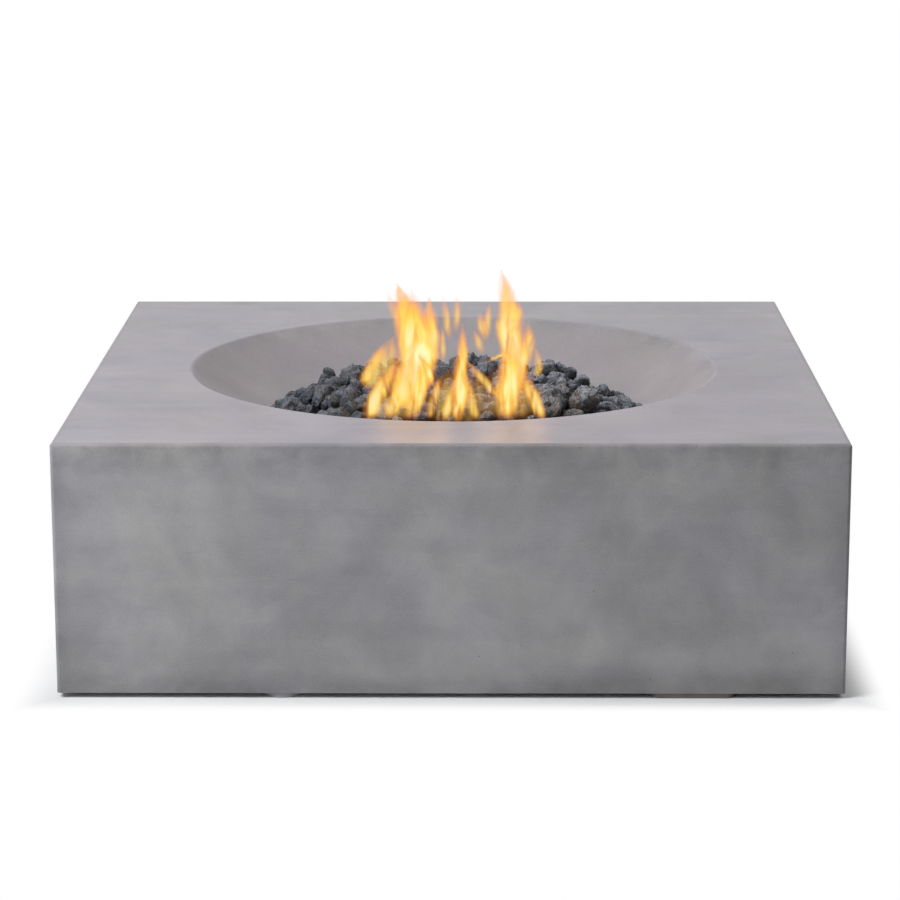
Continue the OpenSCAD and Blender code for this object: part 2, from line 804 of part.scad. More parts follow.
function unit(v) = v / norm(v);
function curve_point(p, t) = let (s = 1 - t)
    s * s * s * p[0] + 3 * s * s * t * p[1] + 3 * s * t * t * p[2] + t * t * t * p[3];
function curve_way(p, t) = let (s = 1 - t)
    unit(s * s * (p[1] - p[0]) + 2 * s * t * (p[2] - p[1]) + t * t * (p[3] - p[2]));

module swept_lead(p) {
    points = [for (i = [0 : lead_steps]) let (
        t = i / lead_steps,
        way = curve_way(p, t),
        side = unit(cross(way, [1, 0, 0])),
        up = cross(side, way)
    ) for (k = [0 : lead_sides - 1]) let (a = k * 360 / lead_sides)
        curve_point(p, t) + lead_r * (cos(a) * side + sin(a) * up)];
    last = lead_steps * lead_sides;
    faces = concat(
        [[for (k = [0 : lead_sides - 1]) lead_sides - 1 - k]],
        [for (i = [0 : lead_steps - 1], k = [0 : lead_sides - 1]) let (
            n = (k + 1) % lead_sides,
            b = i * lead_sides,
            c = b + lead_sides
        ) each [[b + k, b + n, c + n], [b + k, c + n, c + k]]],
        [[for (k = [0 : lead_sides - 1]) last + k]]);
    polyhedron(points, faces);
}

module lead_between(from, to) {
    swept_lead([from, from - [0, 0, lead_sag], to - [0, lead_sag, 0], to]);
}

module igniter_lead() color("#b3372c") lead_between(
    [electrode_at[0], electrode_at[1], insulator_bottom], [ign_x, plate_back_y - ign_l, ign_z]);

module thermocouple_lead() color("#b0713f") lead_between(
    [probe_at[0], probe_at[1], probe_bottom], [valve_x, plate_back_y - valve_w, hose_z]);

// Gas inlet

module gas_inlet() color("#c9a75a") difference() {
    translate([inlet_x, 0, hose_z]) {
        translate([0, plate_front_y, 0]) along_y() cylinder(d = nut_af / cos(30), h = inlet_out, $fn = 6);
        translate([0, plate_back_y - nut_h - inlet_neck_l, 0]) along_y()
            cylinder(r = inlet_neck_r, h = nut_h + inlet_neck_l + sheet_t + over);
    }
    translate([inlet_x, plate_front_y + inlet_out - inlet_depth, hose_z]) along_y()
        cylinder(r = inlet_r, h = inlet_depth + over);
    translate([inlet_x, plate_back_y - nut_h - inlet_neck_l - over, hose_z]) along_y()
        cylinder(r = port_bore_r, h = box_depth);
}

module inlet_nut() color("#b4b8bd") translate([inlet_x, plate_back_y - nut_h, hose_z]) along_y()
    hex_nut(nut_af, inlet_neck_r + fit_gap, nut_h);

module inlet_elbow() color("#b08d4a") difference() {
    translate([inlet_x - elbow_block / 2, port_y - elbow_block / 2, hose_z - elbow_block / 2])
        cube([elbow_block, plate_back_y - nut_h - port_y + elbow_block / 2, elbow_block]);
    translate([inlet_x, plate_back_y - nut_h - inlet_neck_l, hose_z]) along_y()
        cylinder(r = inlet_neck_r + fit_gap, h = inlet_neck_l + over);
    translate([inlet_x, port_y, hose_z]) {
        along_y() cylinder(r = port_bore_r, h = elbow_block);
        rotate([0, -90, 0]) cylinder(r = port_bore_r, h = elbow_block);
        sphere(port_bore_r);
    }
}

module inlet_pipe() color("#b4b8bd") translate([valve_right, port_y, hose_z]) along_x()
    pipe(pipe_r, pipe_bore_r, inlet_x - elbow_block / 2 - valve_right);

// Service door

module hinge_bore(r) {
    translate([hinge_x, hinge_y, door_z]) cylinder(r = r, h = frame_outer[1] + 2 * over, center = true);
}

module door_frame() color("#b7babd") difference() {
    union() {
        wall_block(frame_flange, door_x, door_z, half_w - sheet_t, half_w);
        wall_block(frame_outer, door_x, door_z, inner_half, half_w);
    }
    wall_block(door_open, door_x, door_z, inner_half - over, half_w + over);
    hinge_bore(pin_r + fit_gap);
    flange_screws(frame_flange, frame_flange_w, door_x, door_z, fit_gap);
}

module door_frame_screws() color("#8d9196") flange_screws(frame_flange, frame_flange_w, door_x, door_z);

// A folded steel door with a rolled hinge barrel and a finger slot
module service_door() color("#b0b3b6") difference() {
    translate([0, 0, door_z - door_h / 2]) linear_extrude(door_h) {
        translate([hinge_x, hinge_y]) circle(barrel_r);
        translate([hinge_x, door_face_y - sheet_t]) square([door_free_x - hinge_x, sheet_t]);
        translate([door_free_x - sheet_t, door_back_y]) square([sheet_t, door_t]);
    }
    hinge_bore(pin_r + run_gap);
    wall_block([finger_w, finger_h], door_free_x - finger_inset, door_z, door_back_y, half_w + over);
}

module strike_plate() color("#6f7276")
    wall_block([strike_w, strike_h], door_free_x - sheet_t - strike_w / 2, door_z,
        door_back_y, door_back_y + sheet_t);

module door_magnet() color("#2c2d30")
    wall_block([magnet_w, magnet_h], door_free_x + door_gap - magnet_w / 2, door_z,
        door_back_y - rest_gap - magnet_d, door_back_y - rest_gap);

module hinge_pin() color("#8d9196") translate([hinge_x, hinge_y, door_z - frame_outer[1] / 2])
    cylinder(r = pin_r, h = frame_outer[1]);

// Lava rock

function lattice(reach, shift) = [for (i = [-8 : 8], j = [-8 : 8])
    let (p = 2 * stone_r * [i + j / 2, j * sqrt(3) / 2] + shift) if (norm(p) <= reach) p];

function ball_point(angle, rise, r) = let (c = sqrt(1 - rise * rise))
    r * [c * cos(angle), c * sin(angle), rise];

// A stone of twelve corners inside its sphere; its lower corners and those that meet a stone above
// reach the sphere, and the others are broken back
module stone(number, meets_above) {
    tilt = sqrt(2 / 3);
    luck = rands(0, 1, 36, number);
    rim = [for (k = [0 : 5]) ball_point(
        60 * k + 24 * (luck[k] - 0.5), 0.5 * (luck[k + 6] - 0.5), touch_r * (0.78 + 0.21 * luck[k + 12]))];
    low = [for (k = [0 : 2]) ball_point(90 + 120 * k, -tilt, touch_r)];
    high = [for (k = [0 : 2]) meets_above[k]
        ? ball_point(30 + 120 * k, tilt, touch_r)
        : ball_point(30 + 120 * k + 40 * (luck[k + 18] - 0.5), tilt + 0.25 * (luck[k + 21] - 0.6),
            touch_r * (0.7 + 0.28 * luck[k + 24]))];
    // Corners 0 to 5 lie round the middle, 6 to 8 below and 9 to 11 above
    sides = [for (k = [0 : 2]) let (
        a = 2 * k,
        b = 2 * k + 1,
        c = (2 * k + 2) % 6,
        d = (2 * k + 3) % 6,
        next = (k + 1) % 3
    ) each [
        [9 + k, b, a], [9 + k, c, b], [9 + k, 9 + next, c],
        [6 + k, b, c], [6 + k, c, d], [6 + k, d, 6 + next]
    ]];
    polyhedron(concat(rim, low, high), concat([[6, 7, 8], [11, 10, 9]], sides));
}

// Some places of the upper layer stay empty, so the heap isn't even
function place_luck(p) = rands(0, 1, 1, round(7 * p[0] + 13 * p[1]))[0];
function upper_filled(p) = norm(p) <= upper_reach && place_luck(p) < upper_share;

module lava_rocks_lower() color("#47474b") rotate(heap_turn) {
    spots = lattice(lower_reach, [0, 0]);
    for (i = [0 : len(spots) - 1]) {
        above = [for (k = [0 : 2])
            upper_filled(spots[i] + norm(layer_shift) * [cos(30 + 120 * k), sin(30 + 120 * k)])];
        translate([spots[i][0], spots[i][1], lower_z]) stone(i + 1, above);
    }
}

module lava_rocks_upper() color("#3d3c40") rotate(heap_turn) {
    spots = [for (p = lattice(upper_reach, layer_shift)) if (upper_filled(p)) p];
    for (i = [0 : len(spots) - 1])
        translate([spots[i][0], spots[i][1], upper_z]) stone(i + 1001, [false, false, false]);
}

concrete_body();
front_rail();
rear_rail();
left_rail();
right_rail();
rail_bolts();
round_feet();
pad_feet();
foot_screws();
burner_pan();
rock_grate();
burner_ring();
gas_riser();
riser_nuts();
air_mixer();
air_shutter();
gas_orifice();
supply_elbow();
gas_hose();
hose_nuts();
gas_valve();
valve_cap();
valve_nut();
valve_rotor();
valve_stem();
control_knob();
knob_pointer();
control_box();
control_box_screws();
igniter_module();
igniter_nut();
igniter_button();
igniter_lead();
spark_electrode();
electrode_insulator();
electrode_bracket();
thermocouple();
thermocouple_nuts();
thermocouple_lead();
gas_inlet();
inlet_nut();
inlet_elbow();
inlet_pipe();
door_frame();
door_frame_screws();
service_door();
strike_plate();
door_magnet();
hinge_pin();
lava_rocks_lower();
lava_rocks_upper();
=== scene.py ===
"""Looks for a square cast-concrete fire pit table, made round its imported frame.

Metres, +Z up, the plain front face towards -Y and the rear controls towards +Y.
"""

import json
import math
import random

import bmesh
import bpy
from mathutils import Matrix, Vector, noise


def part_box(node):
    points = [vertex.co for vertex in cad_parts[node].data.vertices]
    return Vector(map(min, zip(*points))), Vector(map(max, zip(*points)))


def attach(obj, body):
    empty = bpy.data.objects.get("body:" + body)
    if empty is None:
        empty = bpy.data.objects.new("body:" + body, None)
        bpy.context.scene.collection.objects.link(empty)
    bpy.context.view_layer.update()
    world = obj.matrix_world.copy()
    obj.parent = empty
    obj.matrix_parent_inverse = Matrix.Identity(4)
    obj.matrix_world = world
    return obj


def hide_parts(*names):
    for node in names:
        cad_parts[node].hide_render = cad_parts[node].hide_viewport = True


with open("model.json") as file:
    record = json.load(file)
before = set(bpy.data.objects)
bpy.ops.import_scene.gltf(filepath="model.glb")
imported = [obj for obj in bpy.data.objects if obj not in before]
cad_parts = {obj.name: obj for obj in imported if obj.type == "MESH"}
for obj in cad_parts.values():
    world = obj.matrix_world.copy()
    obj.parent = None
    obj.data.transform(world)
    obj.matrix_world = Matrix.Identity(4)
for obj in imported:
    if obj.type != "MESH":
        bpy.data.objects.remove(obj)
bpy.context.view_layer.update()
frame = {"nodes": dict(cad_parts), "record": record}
NODES = frame["nodes"]
# What Blender's own first scene may hold
for name in ("Cube", "Light", "Camera"):
    if name in bpy.data.objects:
        bpy.data.objects.remove(bpy.data.objects[name])

MM = 0.001
BLOCK_LOW, BLOCK_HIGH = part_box("concrete_body")
HALF_WIDTH = BLOCK_HIGH.x
DECK_Z = BLOCK_HIGH.z


def srgb(red, green, blue):
    """A colour given as it shows on a screen, 0 to 255, for a shader socket."""
    def linear(value):
        share = value / 255
        return share / 12.92 if share <= 0.04045 else ((share + 0.055) / 1.055) ** 2.4
    return (linear(red), linear(green), linear(blue), 1.0)


class NodeTree:
    """Short calls for building a node tree."""

    def __init__(self, tree):
        self.nodes = tree.nodes
        self.links = tree.links

    def put(self, socket, value):
        """Links a socket to the value, or sets a plain value."""
        if isinstance(value, bpy.types.NodeSocket):
            self.links.new(value, socket)
        else:
            socket.default_value = value

    def add(self, kind, inputs=None, **settings):
        node = self.nodes.new(kind)
        for setting, value in settings.items():
            setattr(node, setting, value)
        for socket, value in (inputs or {}).items():
            self.put(node.inputs[socket], value)
        return node

    def calc(self, operation, first, second=0.0):
        inputs = {0: first, 1: second}
        return self.add("ShaderNodeMath", inputs, operation=operation).outputs[0]

    def plus(self, first, second):
        return self.calc("ADD", first, second)

    def minus(self, first, second):
        return self.calc("SUBTRACT", first, second)

    def times(self, first, second):
        return self.calc("MULTIPLY", first, second)

    def over(self, first, second):
        return self.calc("DIVIDE", first, second)

    def span(self, value, low, high, to_low=0.0, to_high=1.0):
        """Maps low..high to to_low..to_high along a smooth step."""
        inputs = {"Value": value, "From Min": low, "From Max": high, "To Min": to_low, "To Max": to_high}
        node = self.add("ShaderNodeMapRange", inputs, interpolation_type="SMOOTHSTEP")
        return node.outputs["Result"]

    def fade(self, value, low, high):
        """1 up to low, then down to 0 at high."""
        return self.span(value, low, high, 1.0, 0.0)


class Finish(NodeTree):
    """A material in the making, with its patterns on Object coordinates."""

    def __init__(self, name, **surface):
        self.material = bpy.data.materials.new(name)
        self.material.use_nodes = True
        super().__init__(self.material.node_tree)
        self.shader = self.nodes["Principled BSDF"]
        self.place = self.add("ShaderNodeTexCoord").outputs["Object"]
        self.surface(**surface)

    def surface(self, **values):
        """Sets shader sockets: base_color becomes Base Color, and so on."""
        for name, value in values.items():
            socket = name.replace("_", " ").title().replace("Ior", "IOR")
            self.put(self.shader.inputs[socket], value)

    def stretched(self, scale):
        """Object coordinates with a scale of their own along each axis."""
        return self.add("ShaderNodeMapping", {"Vector": self.place, "Scale": scale}).outputs["Vector"]

    def noise(self, scale, detail=3.0, roughness=0.5, distortion=0.0, vector=None):
        inputs = {"Vector": vector or self.place, "Scale": scale, "Detail": detail,
                  "Roughness": roughness, "Distortion": distortion}
        return self.add("ShaderNodeTexNoise", inputs).outputs[0]

    def cells(self, scale):
        return self.add("ShaderNodeTexVoronoi", {"Vector": self.place, "Scale": scale})

    def ramp(self, value, *stops):
        """Blends between (position, colour) stops."""
        node = self.add("ShaderNodeValToRGB", {"Fac": value})
        elements = node.color_ramp.elements
        while len(elements) < len(stops):
            elements.new(0.5)
        for element, (position, colour) in zip(elements, stops):
            element.position = position
            element.color = colour
        return node.outputs["Color"]

    def mix(self, share, first, second, blend="MIX"):
        node = self.add("ShaderNodeMix", data_type="RGBA", blend_type=blend)
        self.put(node.inputs[0], share)
        self.put(node.inputs[6], first)
        self.put(node.inputs[7], second)
        return node.outputs[2]

    def scaled(self, colour, *shares):
        """A colour with its channels times the given shares, or all times one share."""
        channels = shares if len(shares) == 3 else shares * 3
        share = self.add("ShaderNodeCombineColor", dict(enumerate(channels))).outputs[0]
        return self.mix(1.0, colour, share, "MULTIPLY")

    def bump(self, height, strength, distance, normal=None):
        inputs = {"Height": height, "Strength": strength, "Distance": distance}
        if normal is not None:
            inputs["Normal"] = normal
        return self.add("ShaderNodeBump", inputs).outputs["Normal"]

    def axes(self):
        node = self.add("ShaderNodeSeparateXYZ", {"Vector": self.place})
        return [node.outputs[axis] for axis in "XYZ"]


# Finishes

# Each zone of the concrete fades over these distances from a face or an edge
ARRIS_BAND = (1 * MM, 4 * MM)
SIDE_SKIN = (4 * MM, 8 * MM)
DECK_SKIN = (1 * MM, 6 * MM)
DISH_START = (1 * MM, 20 * MM)
DISH_INSET = (30 * MM, 60 * MM)
UPPER_BAND = (5 * MM, 60 * MM)
LOWER_BAND = 45 * MM
CORNER_BAND = (2 * MM, 30 * MM)


def concrete_zones(look):
    """Shares from 0 to 1 for the deck, the dish, the bands along the sides' edges, and the top edge, which
    is painted paler for wear and as a painted highlight on its rounding.
    """
    x, y, z = look.axes()
    inset_x = look.minus(HALF_WIDTH, look.calc("ABSOLUTE", x))
    inset_y = look.minus(HALF_WIDTH, look.calc("ABSOLUTE", y))
    inset = look.calc("MINIMUM", inset_x, inset_y)
    down = look.minus(DECK_Z, z)
    side = look.fade(inset, *SIDE_SKIN)
    deck = look.fade(down, *DECK_SKIN)
    dish = look.times(look.span(down, *DISH_START), look.span(inset, *DISH_INSET))
    upper = look.times(side, look.fade(down, *UPPER_BAND))
    lower = look.times(side, look.fade(z, BLOCK_LOW.z, BLOCK_LOW.z + LOWER_BAND))
    corner = look.times(side, look.fade(look.calc("MAXIMUM", inset_x, inset_y), *CORNER_BAND))
    edge = look.fade(look.calc("MAXIMUM", inset, down), *ARRIS_BAND)
    return deck, dish, upper, lower, corner, edge


def cast_concrete():
    """Smooth sealed concrete: cloudy patches, faint trowel streaks, pinholes painted dark as painted shade,
    a top edge painted paler for wear and as a painted highlight, painted shade in a band below it, and
    painted warm flame light in the dish.
    """
    dark_grey, grey, pale_grey = srgb(142, 142, 145), srgb(157, 156, 159), srgb(171, 170, 172)
    even_grey, wear_and_highlight_grey, pinhole_shade_grey = srgb(158, 157, 160), srgb(178, 175, 174), srgb(84, 83, 85)
    warm_tint, cool_tint = srgb(255, 255, 252), srgb(253, 252, 255)
    # The dish's tint is painted light, warm flame light that also brightens it; the deck's tint is its own
    # mauve tone
    deck_tint, dish_flame_light_tint = (1.03, 0.985, 1.045), (1.035, 0.985, 0.995)
    look = Finish("cast_concrete")
    deck, dish, upper, lower, corner, edge = concrete_zones(look)

    clouds = look.noise(6.5, detail=5, roughness=0.55, distortion=0.5)
    patches = look.noise(19, detail=4, roughness=0.6, distortion=0.4)
    along_x = look.stretched((2.2, 24, 24))
    streaks = look.noise(1, detail=4, roughness=0.55, distortion=0.3, vector=along_x)
    tone = look.plus(look.times(clouds, 0.54), look.times(patches, 0.26))
    tone = look.plus(tone, look.times(streaks, 0.2))
    colour = look.ramp(tone, (0.36, dark_grey), (0.5, grey), (0.64, pale_grey))
    calm = look.plus(look.times(deck, 0.35), look.times(dish, 0.55))
    colour = look.mix(calm, colour, even_grey)
    tint = look.ramp(look.noise(8.5, distortion=0.6), (0.38, warm_tint), (0.62, cool_tint))
    colour = look.mix(1.0, colour, tint, "MULTIPLY")
    colour = look.mix(deck, colour, look.scaled(colour, *deck_tint))
    # Painted light: the dish is made warmer and a little brighter, for the flames' warm light on it
    colour = look.mix(dish, colour, look.scaled(colour, *dish_flame_light_tint))

    # Painted shade: a darker band down from the top edge of the sides stands in for the shading line under
    # the rounded edge
    upper_painted_shade = look.times(upper, look.span(patches, 0.35, 0.65, 0.2, 0.06))
    lower_dark = look.times(lower, look.span(clouds, 0.35, 0.65, 0.28, 0.14))
    corner_dark = look.times(corner, look.span(patches, 0.35, 0.65, 0.14, 0.06))
    edges_dark = look.plus(look.plus(upper_painted_shade, lower_dark), corner_dark)
    colour = look.scaled(colour, look.minus(1.0, edges_dark))
    grain = look.noise(420, detail=2, roughness=0.6)
    colour = look.scaled(colour, look.span(grain, 0.35, 0.65, 0.95, 1.035))
    # The top edge is painted paler: partly wear, partly a painted highlight on the rounded edge
    wear_and_highlight = look.times(edge, look.span(look.noise(30), 0.3, 0.7, 0.2, 0.55))
    colour = look.mix(wear_and_highlight, colour, wear_and_highlight_grey)

    # Each pinhole is painted dark: painted shade inside the hole, besides its dent in the bump
    holes = look.cells(52)
    chance = look.add("ShaderNodeSeparateColor", {"Color": holes.outputs["Color"]}).outputs["Red"]
    radius = look.span(chance, 0.8, 1.0, 0.0, 0.075)
    pinhole = look.span(look.minus(radius, holes.outputs["Distance"]), 0.0, 0.02)
    colour = look.mix(look.times(pinhole, 0.55), colour, pinhole_shade_grey)

    dull = look.span(patches, 0.3, 0.7, 0.46, 0.58)
    look.surface(base_color=colour, roughness=look.minus(dull, look.times(deck, 0.18)))
    look.surface(specular_ior_level=look.minus(0.15, look.times(deck, 0.1)))
    skin = look.bump(look.minus(look.times(grain, 0.25), pinhole), 0.35, 0.6 * MM)
    look.surface(normal=look.bump(look.noise(9, detail=2), 0.08, 4 * MM, skin))
    return look.material


# The dust and painted light grow from this far left to this far right of the middle: the stones on the right
# are painted paler, as if lit from there
DUST_AND_LIGHT_SPREAD = 160 * MM


def porous_lava():
    """Charcoal lava: each stone has its own tone, with open pores painted dark as painted shade, grit, and
    upper sides paler with dust and painted top light, more so towards the right.
    """
    coal, slate, ash, warm, pumice = (srgb(56, 59, 65), srgb(82, 85, 92), srgb(106, 109, 115),
                                      srgb(112, 106, 104), srgb(150, 149, 151))
    # Dust grey is partly dust and partly painted light; pore grey is painted shade in the pores
    dust_and_light_grey, pore_shade_grey = srgb(152, 159, 170), srgb(26, 26, 29)
    look = Finish("porous_lava", roughness=0.92, specular_ior_level=0.2)
    tone = look.add("ShaderNodeAttribute", attribute_name="stone_tone").outputs["Fac"]
    body = look.ramp(tone, (0.0, coal), (0.45, slate), (0.8, ash), (0.93, warm), (1.0, pumice))

    normal = look.add("ShaderNodeNewGeometry").outputs["Normal"]
    up = look.add("ShaderNodeSeparateXYZ", {"Vector": normal}).outputs["Z"]
    drift = look.noise(60, detail=4, roughness=0.6)
    # Upper sides paler: partly dust, partly painted light from above
    dust_and_light = look.times(look.span(up, 0.1, 1.0), look.span(drift, 0.35, 0.7, 0.1, 0.6))
    x, _, _ = look.axes()
    # Painted light: the stones towards the right are made paler still
    dust_and_light = look.times(dust_and_light, look.span(x, -DUST_AND_LIGHT_SPREAD, DUST_AND_LIGHT_SPREAD, 0.75, 2.0))
    body = look.mix(dust_and_light, body, dust_and_light_grey)
    grit = look.noise(520, roughness=0.7)
    body = look.scaled(body, look.span(grit, 0.3, 0.7, 0.55, 1.4))

    pore = look.fade(look.cells(420).outputs["Distance"], 0.12, 0.4)
    pore = look.times(pore, look.span(look.noise(130, detail=2), 0.4, 0.58))
    hole = look.fade(look.cells(190).outputs["Distance"], 0.1, 0.34)
    hole = look.times(hole, look.span(look.noise(75, detail=2), 0.48, 0.6))
    opening = look.calc("MAXIMUM", pore, hole)
    # The pores and holes are painted dark: painted shade inside them, besides their dents in the bump
    look.surface(base_color=look.mix(look.times(opening, 0.85), body, pore_shade_grey))
    rough = look.bump(grit, 0.8, 1.6 * MM)
    look.surface(normal=look.bump(opening, 1.0, -2.6 * MM, rough))
    return look.material


def brushed_steel(name, colour, along, roughness=0.34):
    """Sheet metal brushed along one axis: along scales the scratches, small along their run."""
    look = Finish(name, metallic=1.0, anisotropic=0.4)
    lines = look.noise(1, detail=4, roughness=0.65, vector=look.stretched(along))
    blotch = look.noise(14, roughness=0.55)
    look.surface(base_color=look.scaled(colour, look.span(lines, 0.25, 0.75, 0.86, 1.06)))
    dull = look.span(blotch, 0.3, 0.7, roughness - 0.06, roughness + 0.06)
    look.surface(roughness=look.plus(dull, look.times(lines, 0.06)))
    look.surface(normal=look.bump(lines, 0.12, 0.2 * MM))
    return look.material


def plated_metal(name, light, dark, scale, roughness):
    """Plated or machined metal with a faint blotchy sheen."""
    look = Finish(name, metallic=1.0)
    blotch = look.noise(scale, detail=4, roughness=0.6, distortion=0.4)
    look.surface(base_color=look.ramp(blotch, (0.3, dark), (0.68, light)))
    look.surface(roughness=look.span(look.noise(scale * 2.5), 0.2, 0.8, roughness - 0.03, roughness + 0.05))
    look.surface(normal=look.bump(look.noise(900, detail=2), 0.1, 0.15 * MM))
    return look.material


def moulded(name, light, dark, roughness, grain_scale=900, grain=0.25):
    """Moulded plastic, rubber, paint or glaze: a fine grain and slightly uneven gloss."""
    look = Finish(name)
    look.surface(base_color=look.ramp(look.noise(45, roughness=0.6), (0.3, dark), (0.7, light)))
    look.surface(roughness=look.span(look.noise(60), 0.3, 0.7, roughness - 0.05, roughness + 0.07))
    look.surface(normal=look.bump(look.noise(grain_scale, detail=2), grain, 0.2 * MM))
    return look.material


FINISHES = {
    "concrete": cast_concrete(),
    "lava": porous_lava(),
    "rail_paint": moulded("rail_powder_coat", srgb(66, 68, 72), srgb(56, 58, 62), 0.55, 700, 0.35),
    "stainless": brushed_steel("brushed_stainless", srgb(196, 198, 200), (6, 420, 420)),
    "zinc": plated_metal("zinc_plate", srgb(196, 199, 204), srgb(168, 172, 180), 120, 0.34),
    "brass": plated_metal("machined_brass", srgb(205, 172, 104), srgb(172, 136, 74), 80, 0.3),
    "hose_steel": plated_metal("hose_steel", srgb(178, 181, 184), srgb(140, 143, 147), 90, 0.36),
    "glide_rubber": moulded("glide_rubber", srgb(150, 151, 155), srgb(134, 135, 139), 0.7, 600, 0.3),
    "pad_rubber": moulded("pad_rubber", srgb(112, 105, 99), srgb(98, 91, 86), 0.72, 600, 0.3),
    "knob_plastic": moulded("knob_phenolic", srgb(40, 40, 42), srgb(31, 31, 33), 0.42, 800, 0.3),
    "pointer_plastic": moulded("pointer_inlay", srgb(236, 233, 226), srgb(226, 222, 214), 0.35),
    "button_plastic": moulded("button_red", srgb(176, 40, 32), srgb(158, 32, 26), 0.28),
    "module_plastic": moulded("igniter_case", srgb(44, 46, 49), srgb(36, 37, 40), 0.5),
    "magnet_case": moulded("magnet_case", srgb(50, 50, 53), srgb(40, 40, 43), 0.5),
    "electrode_wire": plated_metal("heat_tinted_wire", srgb(140, 128, 118), srgb(96, 88, 92), 200, 0.38),
    "insulator_ceramic": moulded("insulator_glaze", srgb(238, 234, 226), srgb(226, 220, 208),
                                 0.22, 300, 0.08),
    "lead_silicone": moulded("lead_silicone", srgb(180, 56, 44), srgb(160, 46, 36), 0.5),
    "lead_copper": plated_metal("lead_copper", srgb(196, 126, 86), srgb(158, 92, 60), 110, 0.32),
}
SLOT_OF = {part["node"]: part["material_slot"] for part in frame["record"]["subparts"]}
HEATED_NODES = ("burner_pan", "rock_grate", "burner_ring")
HEATED_STEEL = plated_metal("heat_stained_steel", srgb(146, 141, 136), srgb(122, 118, 117), 16, 0.42)
for node_name, node in NODES.items():
    node.data.materials.clear()
    node.data.materials.append(HEATED_STEEL if node_name in HEATED_NODES else FINISHES[SLOT_OF[node_name]])


# Pieces

MERGE_REACH = 0.01 * MM


def solids_of(node_name):
    """The middle and the half size of each separate solid in a node."""
    shape = bmesh.new()
    shape.from_mesh(NODES[node_name].data)
    bmesh.ops.remove_doubles(shape, verts=shape.verts, dist=MERGE_REACH)
    unseen = set(shape.verts)
    found = []
    for first in list(shape.verts):
        if first not in unseen:
            continue
        unseen.discard(first)
        members = [first]
        for vertex in members:
            for edge in vertex.link_edges:
                other = edge.other_vert(vertex)
                if other in unseen:
                    unseen.discard(other)
                    members.append(other)
        low = Vector([min(vertex.co[axis] for vertex in members) for axis in range(3)])
        high = Vector([max(vertex.co[axis] for vertex in members) for axis in range(3)])
        found.append(((low + high) / 2, (high - low) / 2))
    shape.free()
    return found


def add_piece(name, mesh, body, slot, *replaced):
    """A finished mesh at the origin that rides on a body and takes its finish from a slot."""
    piece = bpy.data.objects.new(name, mesh)
    bpy.context.scene.collection.objects.link(piece)
    if not mesh.materials:
        mesh.materials.append(FINISHES[slot])
    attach(piece, body)
    if replaced:
        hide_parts(*replaced)


def points_mesh(name, points):
    """A mesh of loose points for a tree to build on."""
    mesh = bpy.data.meshes.new(name)
    mesh.from_pydata([tuple(point) for point in points], [], [])
    return mesh


class Maker(NodeTree):
    """A Geometry Nodes tree with named inputs, which ends in Realize Instances and Set Material."""

    KINDS = {int: "NodeSocketInt", float: "NodeSocketFloat", bpy.types.Material: "NodeSocketMaterial",
             bpy.types.Object: "NodeSocketObject"}

    def __init__(self, name, **inputs):
        self.tree = bpy.data.node_groups.new(name, "GeometryNodeTree")
        super().__init__(self.tree)
        face = self.tree.interface
        face.new_socket("Geometry", in_out="INPUT", socket_type="NodeSocketGeometry")
        face.new_socket("Geometry", in_out="OUTPUT", socket_type="NodeSocketGeometry")
        self.values = {}
        for label, value in inputs.items():
            kind = next(socket for form, socket in self.KINDS.items() if isinstance(value, form))
            socket = face.new_socket(label, in_out="INPUT", socket_type=kind)
            self.values[socket.identifier] = value
        self.given = self.add("NodeGroupInput").outputs

    def end(self, geometry):
        realized = self.add("GeometryNodeRealizeInstances", {"Geometry": geometry}).outputs[0]
        inputs = {"Geometry": realized, "Material": self.given["finish"]}
        done = self.add("GeometryNodeSetMaterial", inputs).outputs[0]
        self.add("NodeGroupOutput", {"Geometry": done})

    def mesh_from(self, name, data):
        """Runs the tree on a mesh or a curve, and returns the result as a plain mesh with no modifier."""
        carrier = bpy.data.objects.new(name, data)
        bpy.context.scene.collection.objects.link(carrier)
        modifier = carrier.modifiers.new("maker", "NODES")
        modifier.node_group = self.tree
        for identifier, value in self.values.items():
            modifier[identifier] = value
        seen = carrier.evaluated_get(bpy.context.evaluated_depsgraph_get())
        mesh = bpy.data.meshes.new_from_object(seen)
        bpy.data.objects.remove(carrier)
        mesh.name = name
        return mesh


# Lava stones: the heap's two layers and the small stones among them

STONE_STRETCH = ((1.0, 1.3), (0.8, 1.05), (0.66, 0.92))
PATTERN_SPREAD = 50
CUT_COUNT, CUT_REACH, CUT_FLATNESS = 11, (0.7, 0.94), 0.95
COARSE_LUMP, COARSE_SCALE = 0.14, 1.7
FINE_LUMP, FINE_SCALE = 0.2, 3.4
PIT_DEPTH, PIT_REACH, PIT_SCALE = 0.26, 0.4, 3.8


